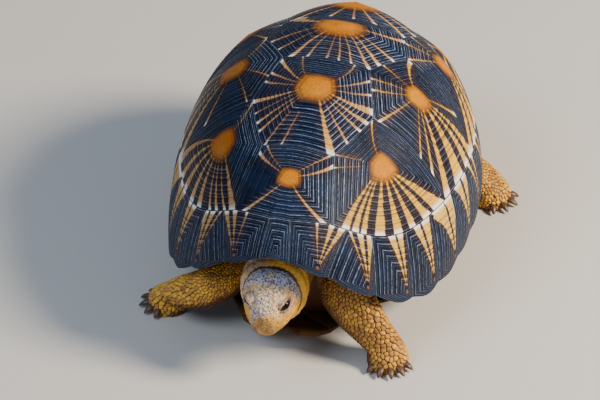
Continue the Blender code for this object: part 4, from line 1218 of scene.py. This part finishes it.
def spreadRoots(points, normals, sizes, rounds=4):
    # roots kept about one scale apart, then relaxed to the middle of their own cells
    tree = treeOf(points)
    free = np.ones(len(points), bool)
    roots = []
    for i in range(len(points)):
        if free[i]:
            roots.append(i)
            for place, j, away in tree.find_range(points[i], sizes[i] * 0.80):
                free[j] = False
    middles = points[roots]
    nearest = np.array(roots)
    for turn in range(rounds):
        rootTree = treeOf(middles)
        owner = np.array([rootTree.find(point)[1] for point in points])
        total = np.bincount(owner, minlength=len(middles)).astype(float)
        middles = np.stack([np.bincount(owner, points[:, k], len(middles)) for k in range(3)], -1)
        middles /= np.maximum(total, 1)[:, None]
        middles = middles[total > 0]
        nearest = np.array([tree.find(middle)[1] for middle in middles])
        middles = points[nearest]
    return np.unique(nearest)


def clipped(polygon, nx, ny, limit):
    kept = []
    for k in range(len(polygon)):
        ax, ay = polygon[k - 1]
        bx, by = polygon[k]
        da, db = ax * nx + ay * ny - limit, bx * nx + by * ny - limit
        if da <= 0 < db or db <= 0 < da:
            t = da / (da - db)
            kept.append((ax + (bx - ax) * t, ay + (by - ay) * t))
        if db <= 0:
            kept.append((bx, by))
    return kept


def coatPiece(name, samples, sizes, lies, look, unwrap):
    points, normals = samples
    roots = spreadRoots(points, normals, sizes)
    places, ups, widths, ways = points[roots], normals[roots], sizes[roots], lies[roots]
    ways = ways - ups * np.sum(ways * ups, 1)[:, None]
    ways /= np.maximum(np.linalg.norm(ways, axis=1, keepdims=True), 1e-9)
    asides = np.cross(ups, ways)
    tree = treeOf(places)
    heights = look["height"] * (widths / look["usual"]) ** 0.8
    tilts = look["tilt"] * heights
    lots = look["lots"][0] + (look["lots"][1] - look["lots"][0]) * chance.random(len(roots))
    verts, faces, uvs, levels, owners = [], [], [], [], []
    around = [(math.cos(a), math.sin(a)) for a in np.linspace(0, 2 * math.pi, 10, endpoint=False)]
    spots = unwrap(places)
    for k in range(len(roots)):
        width, place, way, across, up = widths[k], places[k], ways[k], asides[k], ups[k]
        polygon = [(x * width * 0.64 * look["stretch"], y * width * 0.64) for x, y in around]
        for spot, j, away in tree.find_n(place, 12):
            if j == k or away < 1e-6:
                continue
            off = np.array(spot) - place
            dx, dy = float(off @ way), float(off @ across)
            flat = math.hypot(dx, dy)
            if flat < 1e-6:
                continue
            share = width / (width + widths[j])
            polygon = clipped(polygon, dx / flat, dy / flat, flat * share - look["gap"] / 2)
            if len(polygon) < 3:
                break
        if len(polygon) < 3:
            continue
        rounded = []
        for m in range(len(polygon)):
            (px, py), (x, y), (nx, ny) = polygon[m - 1], polygon[m], polygon[(m + 1) % len(polygon)]
            rounded.append((x + (px - x) * 0.24, y + (py - y) * 0.24))
            rounded.append((x + (nx - x) * 0.24, y + (ny - y) * 0.24))
        flat = np.array(rounded)
        middle = flat.mean(0)
        count = len(flat)
        base = len(verts)
        height, tilt = heights[k] * (0.85 + 0.3 * lots[k]), tilts[k]
        for grow, level in ((1.0, -0.5), (0.97, 0.55), (0.74, 0.95)):
            shape = middle + (flat - middle) * grow
            rise = height * level + (tilt * shape[:, 0] / width if level > 0 else 0)
            ring = place + shape[:, :1] * way + shape[:, 1:] * across + np.atleast_1d(rise)[:, None] * up
            verts.extend(ring)
            levels += [max(level, look["least"])] * count
            uvs.extend(spots[k] + shape / width * 0.0028)
        verts.append(place + middle[0] * way + middle[1] * across + (height * 1.04) * up)
        levels.append(1.0)
        uvs.append(spots[k] + middle / width * 0.0028)
        owners += [k] * (3 * count + 1)
        for ring in range(2):
            a = base + ring * count
            for m in range(count):
                n = (m + 1) % count
                faces.append((a + m, a + n, a + count + n, a + count + m))
        a = base + 2 * count
        faces += [(a + m, a + (m + 1) % count, base + 3 * count) for m in range(count)]
        faces.append(tuple(range(base + count - 1, base - 1, -1)))
    verts = np.array(verts)
    verts[:, 2] = np.maximum(verts[:, 2], 0.0001)      # nothing below the floor
    thing = meshObject(name, verts, faces)
    owners = np.array(owners)
    mark(thing, hideMarks(places, ups)[owners], levels, lots[owners])
    corner = np.empty(len(thing.data.loops), np.int32)
    thing.data.loops.foreach_get("vertex_index", corner)
    bake = thing.data.uv_layers.new(name="OFBake")
    bake.data.foreach_set("uv", np.array(uvs, np.float32)[corner].ravel())
    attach(thing, "root")
    print(name, len(roots), "scales", sum(len(f) - 2 for f in faces), "triangles")
    return thing


# width in metres where scales are usual, how much larger and smaller they get, and their form
scaleForms = {
    "foreleg": {"usual": 0.0026, "large": 0.0038, "small": 0.0018, "height": 0.00085, "tilt": 0.9,
                "gap": 0.00032, "stretch": 1.12, "least": 0.0, "lots": (0.0, 0.80)},
    "hindleg": {"usual": 0.0026, "large": 0.0036, "small": 0.0019, "height": 0.00075, "tilt": 0.8,
                "gap": 0.00034, "stretch": 1.10, "least": 0.0, "lots": (0.1, 0.95)},
    "head": {"usual": 0.0022, "large": 0.0044, "small": 0.0013, "height": 0.00026, "tilt": 0.0,
             "gap": 0.00024, "stretch": 1.0, "least": 0.0, "lots": (0.55, 1.0)},
    "neck": {"usual": 0.0020, "large": 0.0020, "small": 0.0014, "height": 0.00020, "tilt": 0.2,
             "gap": 0.00018, "stretch": 1.0, "least": 0.62, "lots": (0.85, 1.0)},
    "tail": {"usual": 0.0020, "large": 0.0020, "small": 0.0014, "height": 0.00040, "tilt": 0.7,
             "gap": 0.00030, "stretch": 1.1, "least": 0.1, "lots": (0.0, 0.8)},
}


def legCoat(number, name, form, look):
    points, normals = skinSamples(skin.data, skinRegion == number, look["usual"])
    keep = (points[:, 2] > 0.0012) | (normals[:, 2] > -0.5)
    points, normals = points[keep], normals[keep]
    away, share, run, turn = legPlace(points, form)
    large = blend(0.1, 0.9, normals @ np.array(Vector(form["large"]).normalized())) * blend(0.25, 0.60, share)
    small = blend(0.2, 0.8, normals @ np.array(Vector(form["darkSkinAndShade"]).normalized()))
    small = np.maximum(small, blend(0.30, 0.10, share) * 0.6)
    usual = look["usual"]
    sizes = usual + (look["large"] - usual) * large * (1 - small) + (look["small"] - usual) * small
    sizes *= 1 - form.get("fine", 0) * blend(0.62, 0.35, share)

    def unwrap(places):
        away, share, run, turn = legPlace(places, form)
        return np.stack([0.03 + 0.94 * (turn / (2 * math.pi) + 0.5), 0.03 + 0.94 * share], -1)

    return coatPiece(f"scales_{name}", (points, normals), sizes, run, look, unwrap)


def headUnwrap(places):
    forward, aside, up = inHead(places).T
    return np.stack([0.03 + 0.94 * (np.arctan2(aside, up) / (2 * math.pi) + 0.5),
                     0.05 + 0.9 * np.clip((forward + 0.034) / 0.088, 0, 1)], -1)


def headCoat(look):
    points, normals = skinSamples(skin.data, skinRegion == 4, look["small"] * 1.25)
    forward, aside, up = inHead(points).T
    facing = normals @ headAxes.T
    eye = headForm["eyePlace"]
    lids = np.minimum(*(np.linalg.norm(inHead(points) - np.array((eye[0], s * eye[1], eye[2])), axis=1)
                        for s in (-1, 1)))
    crown = blend(0.2, 0.8, facing[:, 2])
    sizes = look["small"] + (look["usual"] - look["small"]) * np.maximum(crown, 0.35)
    sizes += (look["large"] - look["usual"]) * crown * blend(0.008, 0.003, np.abs(aside)) * \
        blend(0.018, 0.022, forward) * blend(0.046, 0.040, forward)
    sizes = np.where(lids < headForm["lidReach"], look["small"], sizes)
    horny = hideMarks(points, normals)[:, 3]
    keep = (horny < 0.5) & (lids > 0.0066) & (distancesTo(5, points) > 0.0010)
    line = mouthLine(forward)
    keep &= ~((np.abs(up - line) < 0.0009) & (forward > 0.026))
    back = np.tile(-headAxes[0], (len(points), 1))
    return coatPiece("scales_head", (points[keep], normals[keep]), sizes[keep], back[keep], look, headUnwrap)


def neckCoat(look):
    front = (skinRegion == 5) & (inHead(skinPoints)[:, 0] > -0.022)
    points, normals = skinSamples(skin.data, front, look["small"])
    keep = distancesTo(4, points) > 0.0010
    back = np.tile(-headAxes[0], (len(points), 1))
    sizes = np.full(len(points), look["usual"])
    return coatPiece("scales_neck", (points[keep], normals[keep]), sizes[keep], back[keep], look, headUnwrap)


def tailCoat(look):
    points, normals = skinSamples(skin.data, skinRegion == 6, look["small"])
    low, high = points.min(0), points.max(0)
    back = np.tile(np.array((0.2, 0.75, -0.6)), (len(points), 1))

    def unwrap(places):
        turn = np.arctan2(places[:, 0] - 0.004, places[:, 2] - 0.045)
        return np.stack([0.03 + 0.94 * (turn / (2 * math.pi) + 0.5),
                         0.03 + 0.94 * (places[:, 1] - low[1]) / (high[1] - low[1])], -1)

    return coatPiece("scales_tail", (points, normals), np.full(len(points), look["usual"]), back, look, unwrap)


print("scales")
for number, (name, form) in enumerate(legForms.items()):
    legCoat(number, name, form, scaleForms[name[:7]] | form.get("scales", {}))
headCoat(scaleForms["head"])
neckCoat(scaleForms["neck"])
tailCoat(scaleForms["tail"])


# claws: one modelled along X, then copied to every toe

clawForm = {"radius": 0.0031, "length": 0.0075, "root": 0.0055,
            "rings": ((-0.05, 0.01, 1.0), (0.25, -0.04, 0.95), (0.50, -0.12, 0.82), (0.72, -0.24, 0.62),
                      (0.90, -0.39, 0.40), (1.0, -0.50, 0.20)),
            "dark": (0.050, 0.022, 0.011), "light": (0.21, 0.11, 0.050)}


def clawMaterial():
    material, tree, shader = newMaterial("clawHorn", 0.4)
    place = objectPlace(tree)
    stretched = addNode(tree, "ShaderNodeMapping", {"Vector": place, "Scale": (1.0, 1.0, 0.3)})
    streaks = noiseOf(tree, stretched, 1400.0, 4.0, 0.6)
    colour = mix(tree, step(tree, streaks, 0.4, 0.75), clawForm["dark"], clawForm["light"])
    tree.links.new(colour, shader.inputs["Base Color"])
    rough = addNode(tree, "ShaderNodeMapRange", {0: streaks, 1: 0.3, 2: 0.7, 3: 0.3, 4: 0.5})
    tree.links.new(rough, shader.inputs["Roughness"])
    bump(tree, shader, streaks, 0.00015, 0.6)
    return material


def modelClaw():
    form = clawForm
    bpy.ops.mesh.primitive_circle_add(vertices=10, radius=form["radius"], fill_type="NGON",
                                      location=(-0.35 * form["length"], 0, 0), rotation=(0, math.pi / 2, 0))
    claw = bpy.context.object
    bpy.ops.object.transform_apply(location=True, rotation=True, scale=True)
    bpy.ops.object.mode_set(mode="EDIT")
    bpy.ops.mesh.select_all(action="SELECT")
    at, size = Vector((-0.35, 0, 0)), 1.0
    for along, droop, share in form["rings"]:
        to = Vector((along, 0, droop))
        bpy.ops.mesh.extrude_region_move(TRANSFORM_OT_translate={"value": (to - at) * form["length"]})
        bpy.ops.transform.resize(value=(1, share / size, share / size), center_override=to * form["length"])
        at, size = to, share
    bpy.ops.mesh.select_all(action="SELECT")
    bpy.ops.transform.resize(value=(1, 1, 0.8), center_override=(0, 0, 0))
    bpy.ops.mesh.normals_make_consistent(inside=False)
    bpy.ops.object.mode_set(mode="OBJECT")
    rounded = claw.modifiers.new("rounded", "SUBSURF")
    rounded.levels = rounded.render_levels = 2
    applyAll(claw)
    return claw


def clawSet():
    pattern, material = modelClaw(), clawMaterial()
    for name, form in legForms.items():
        ahead, aside, foot = footAxes(form)
        claws = []
        for turn, length in clawTurns[name[:4]]:
            way = math.radians(form["heading"] + turn)
            outward = Vector((math.sin(way), -math.cos(way), 0))
            reach = 1 / math.hypot(outward.dot(ahead) / form["foot"][2], outward.dot(aside) / form["foot"][3])
            root = foot + outward * (reach * 0.96) + Vector((0, 0, clawForm["root"])) + shellMiddle
            lengthwise = outward * (length / clawForm["length"])
            place = Matrix((lengthwise, Vector((0, 0, 1)).cross(outward), Vector((0, 0, 1)))).transposed().to_4x4()
            place.translation = root
            mesh = pattern.data.copy()
            mesh.transform(place)
            points = pointsOf(mesh)
            points[:, 2] = np.maximum(points[:, 2], 0.0006)
            setPoints(mesh, points)
            claw = bpy.data.objects.new(f"claw_{name}_{len(claws) + 1}", mesh)
            bpy.context.scene.collection.objects.link(claw)
            claws.append(claw)
        deselectAll()
        for claw in claws:
            claw.select_set(True)
        bpy.context.view_layer.objects.active = claws[0]
        bpy.ops.object.join()
        whole = bpy.context.object
        whole.name = whole.data.name = f"claws_{name}"
        whole.data.materials.append(material)
        whole.data.polygons.foreach_set("use_smooth", [True] * len(whole.data.polygons))
        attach(whole, "root")
    bpy.data.objects.remove(pattern, do_unlink=True)


print("claws")
clawSet()


# eyes: a dark brown ball behind the slanting lids

eyeLook = {"pupil": (0.002, 0.002, 0.003), "iris": (0.022, 0.010, 0.006), "iris2": (0.008, 0.005, 0.004),
           "white": (0.03, 0.016, 0.012), "corneaRise": 0.04}


def eyeMaterial():
    material, tree, shader = newMaterial("tortoiseEye", 0.28)
    shader.inputs["Specular IOR Level"].default_value = 0.22
    gaze = attribute(tree, "gaze")
    fibres = noiseOf(tree, objectPlace(tree), 1500.0, 3.0)
    iris = mix(tree, fibres, eyeLook["iris"], eyeLook["iris2"])
    colour = mix(tree, step(tree, gaze, 0.80, 0.70), iris, eyeLook["white"])
    colour = mix(tree, step(tree, gaze, 0.90, 0.93), colour, eyeLook["pupil"])
    tree.links.new(colour, shader.inputs["Base Color"])
    bump(tree, shader, fibres, 0.00003, 0.3)
    return material


def makeEyes():
    material = eyeMaterial()
    forward, aside, up = headForm["eyePlace"]
    for name, sign in (("left", 1), ("right", -1)):
        middle = Vector(fromHead(np.array((forward, sign * aside, up))))
        deselectAll()
        bpy.ops.mesh.primitive_uv_sphere_add(segments=40, ring_count=24, radius=headForm["eyeRadius"],
                                             location=middle)
        eye = bpy.context.object
        bpy.ops.object.transform_apply(location=True, rotation=True, scale=True)
        bpy.ops.object.shade_smooth()
        eye.name = eye.data.name = f"eyeball_{name}"
        out = Vector(eyeAxes(sign)[0] @ headAxes)
        off = pointsOf(eye.data) - np.array(middle)
        gaze = off @ np.array(out) / headForm["eyeRadius"]
        # the cornea stands out a little
        points = np.array(middle) + off * (1 + eyeLook["corneaRise"] * blend(0.80, 0.98, gaze))[:, None]
        setPoints(eye.data, points)
        store(eye.data, "gaze", "FLOAT", gaze)
        eye.data.materials.clear()
        eye.data.materials.append(material)
        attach(eye, "root")
        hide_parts(f"eye_{name}")


print("eyes")
makeEyes()


# floor, light and camera

stageLook = {
    "floor": (0.66, 0.63, 0.58), "sky": (0.55, 0.68, 0.92), "skyStrength": 0.30,
    "aim": (0, 0, 0.08), "keyPlace": (1.75, -0.10, 1.45), "keySize": 0.6, "keyPower": 98,
    "keyColour": (1.0, 0.87, 0.70), "fillPlace": (-0.9, -1.3, 1.9), "fillSize": 1.2, "fillPower": 26,
    "fillColour": (0.72, 0.84, 1.0),
    "cameraPlace": (0.6535, -2.9296, 2.3801), "azimuth": 0.227059, "elevation": 0.657929, "roll": 0.0135801,
    "lens": 293.95,
}


def areaLight(name, place, target, size, power, colour):
    bpy.ops.object.light_add(type="AREA", location=place)
    light = bpy.context.object
    light.name = name
    light.data.shape = "DISK"
    light.data.size, light.data.energy, light.data.color = size, power, colour
    light.rotation_euler = (Vector(target) - Vector(place)).to_track_quat("-Z", "Y").to_euler()


def makeStage():
    look = stageLook
    material, tree, shader = newMaterial("palePlaster", 0.8)
    clouds = noiseOf(tree, objectPlace(tree), 4.0, 4.0)
    tone = [c * 0.94 for c in look["floor"]]
    tree.links.new(mix(tree, clouds, look["floor"], tone), shader.inputs["Base Color"])
    bump(tree, shader, noiseOf(tree, objectPlace(tree), 180.0, 4.0), 0.0003, 0.3)
    bpy.ops.mesh.primitive_plane_add(size=14)
    floor = bpy.context.object
    floor.name = "floor"
    floor.data.materials.append(material)
    world = bpy.data.worlds.new("studio")
    bpy.context.scene.world = world
    world.use_nodes = True
    background = world.node_tree.nodes["Background"]
    background.inputs["Color"].default_value = (*look["sky"], 1)
    background.inputs["Strength"].default_value = look["skyStrength"]
    areaLight("key", look["keyPlace"], look["aim"], look["keySize"], look["keyPower"], look["keyColour"])
    areaLight("fill", look["fillPlace"], look["aim"], look["fillSize"], look["fillPower"], look["fillColour"])
    bpy.ops.object.camera_add(location=look["cameraPlace"])
    camera = bpy.context.object
    az, el, roll = look["azimuth"], look["elevation"], look["roll"]
    back = Vector((math.sin(az) * math.cos(el), -math.cos(az) * math.cos(el), math.sin(el)))
    right = Vector((math.cos(az), math.sin(az), 0))
    up = back.cross(right)
    turned = right * math.cos(roll) + up * math.sin(roll)
    upright = up * math.cos(roll) - right * math.sin(roll)
    place = Matrix((turned, upright, back)).transposed().to_4x4()
    place.translation = look["cameraPlace"]
    camera.matrix_world = place
    camera.data.lens, camera.data.sensor_width = look["lens"], 36
    camera.data.clip_start, camera.data.clip_end = 0.5, 30
    bpy.context.scene.camera = camera


print("floor, light and camera")
makeStage()
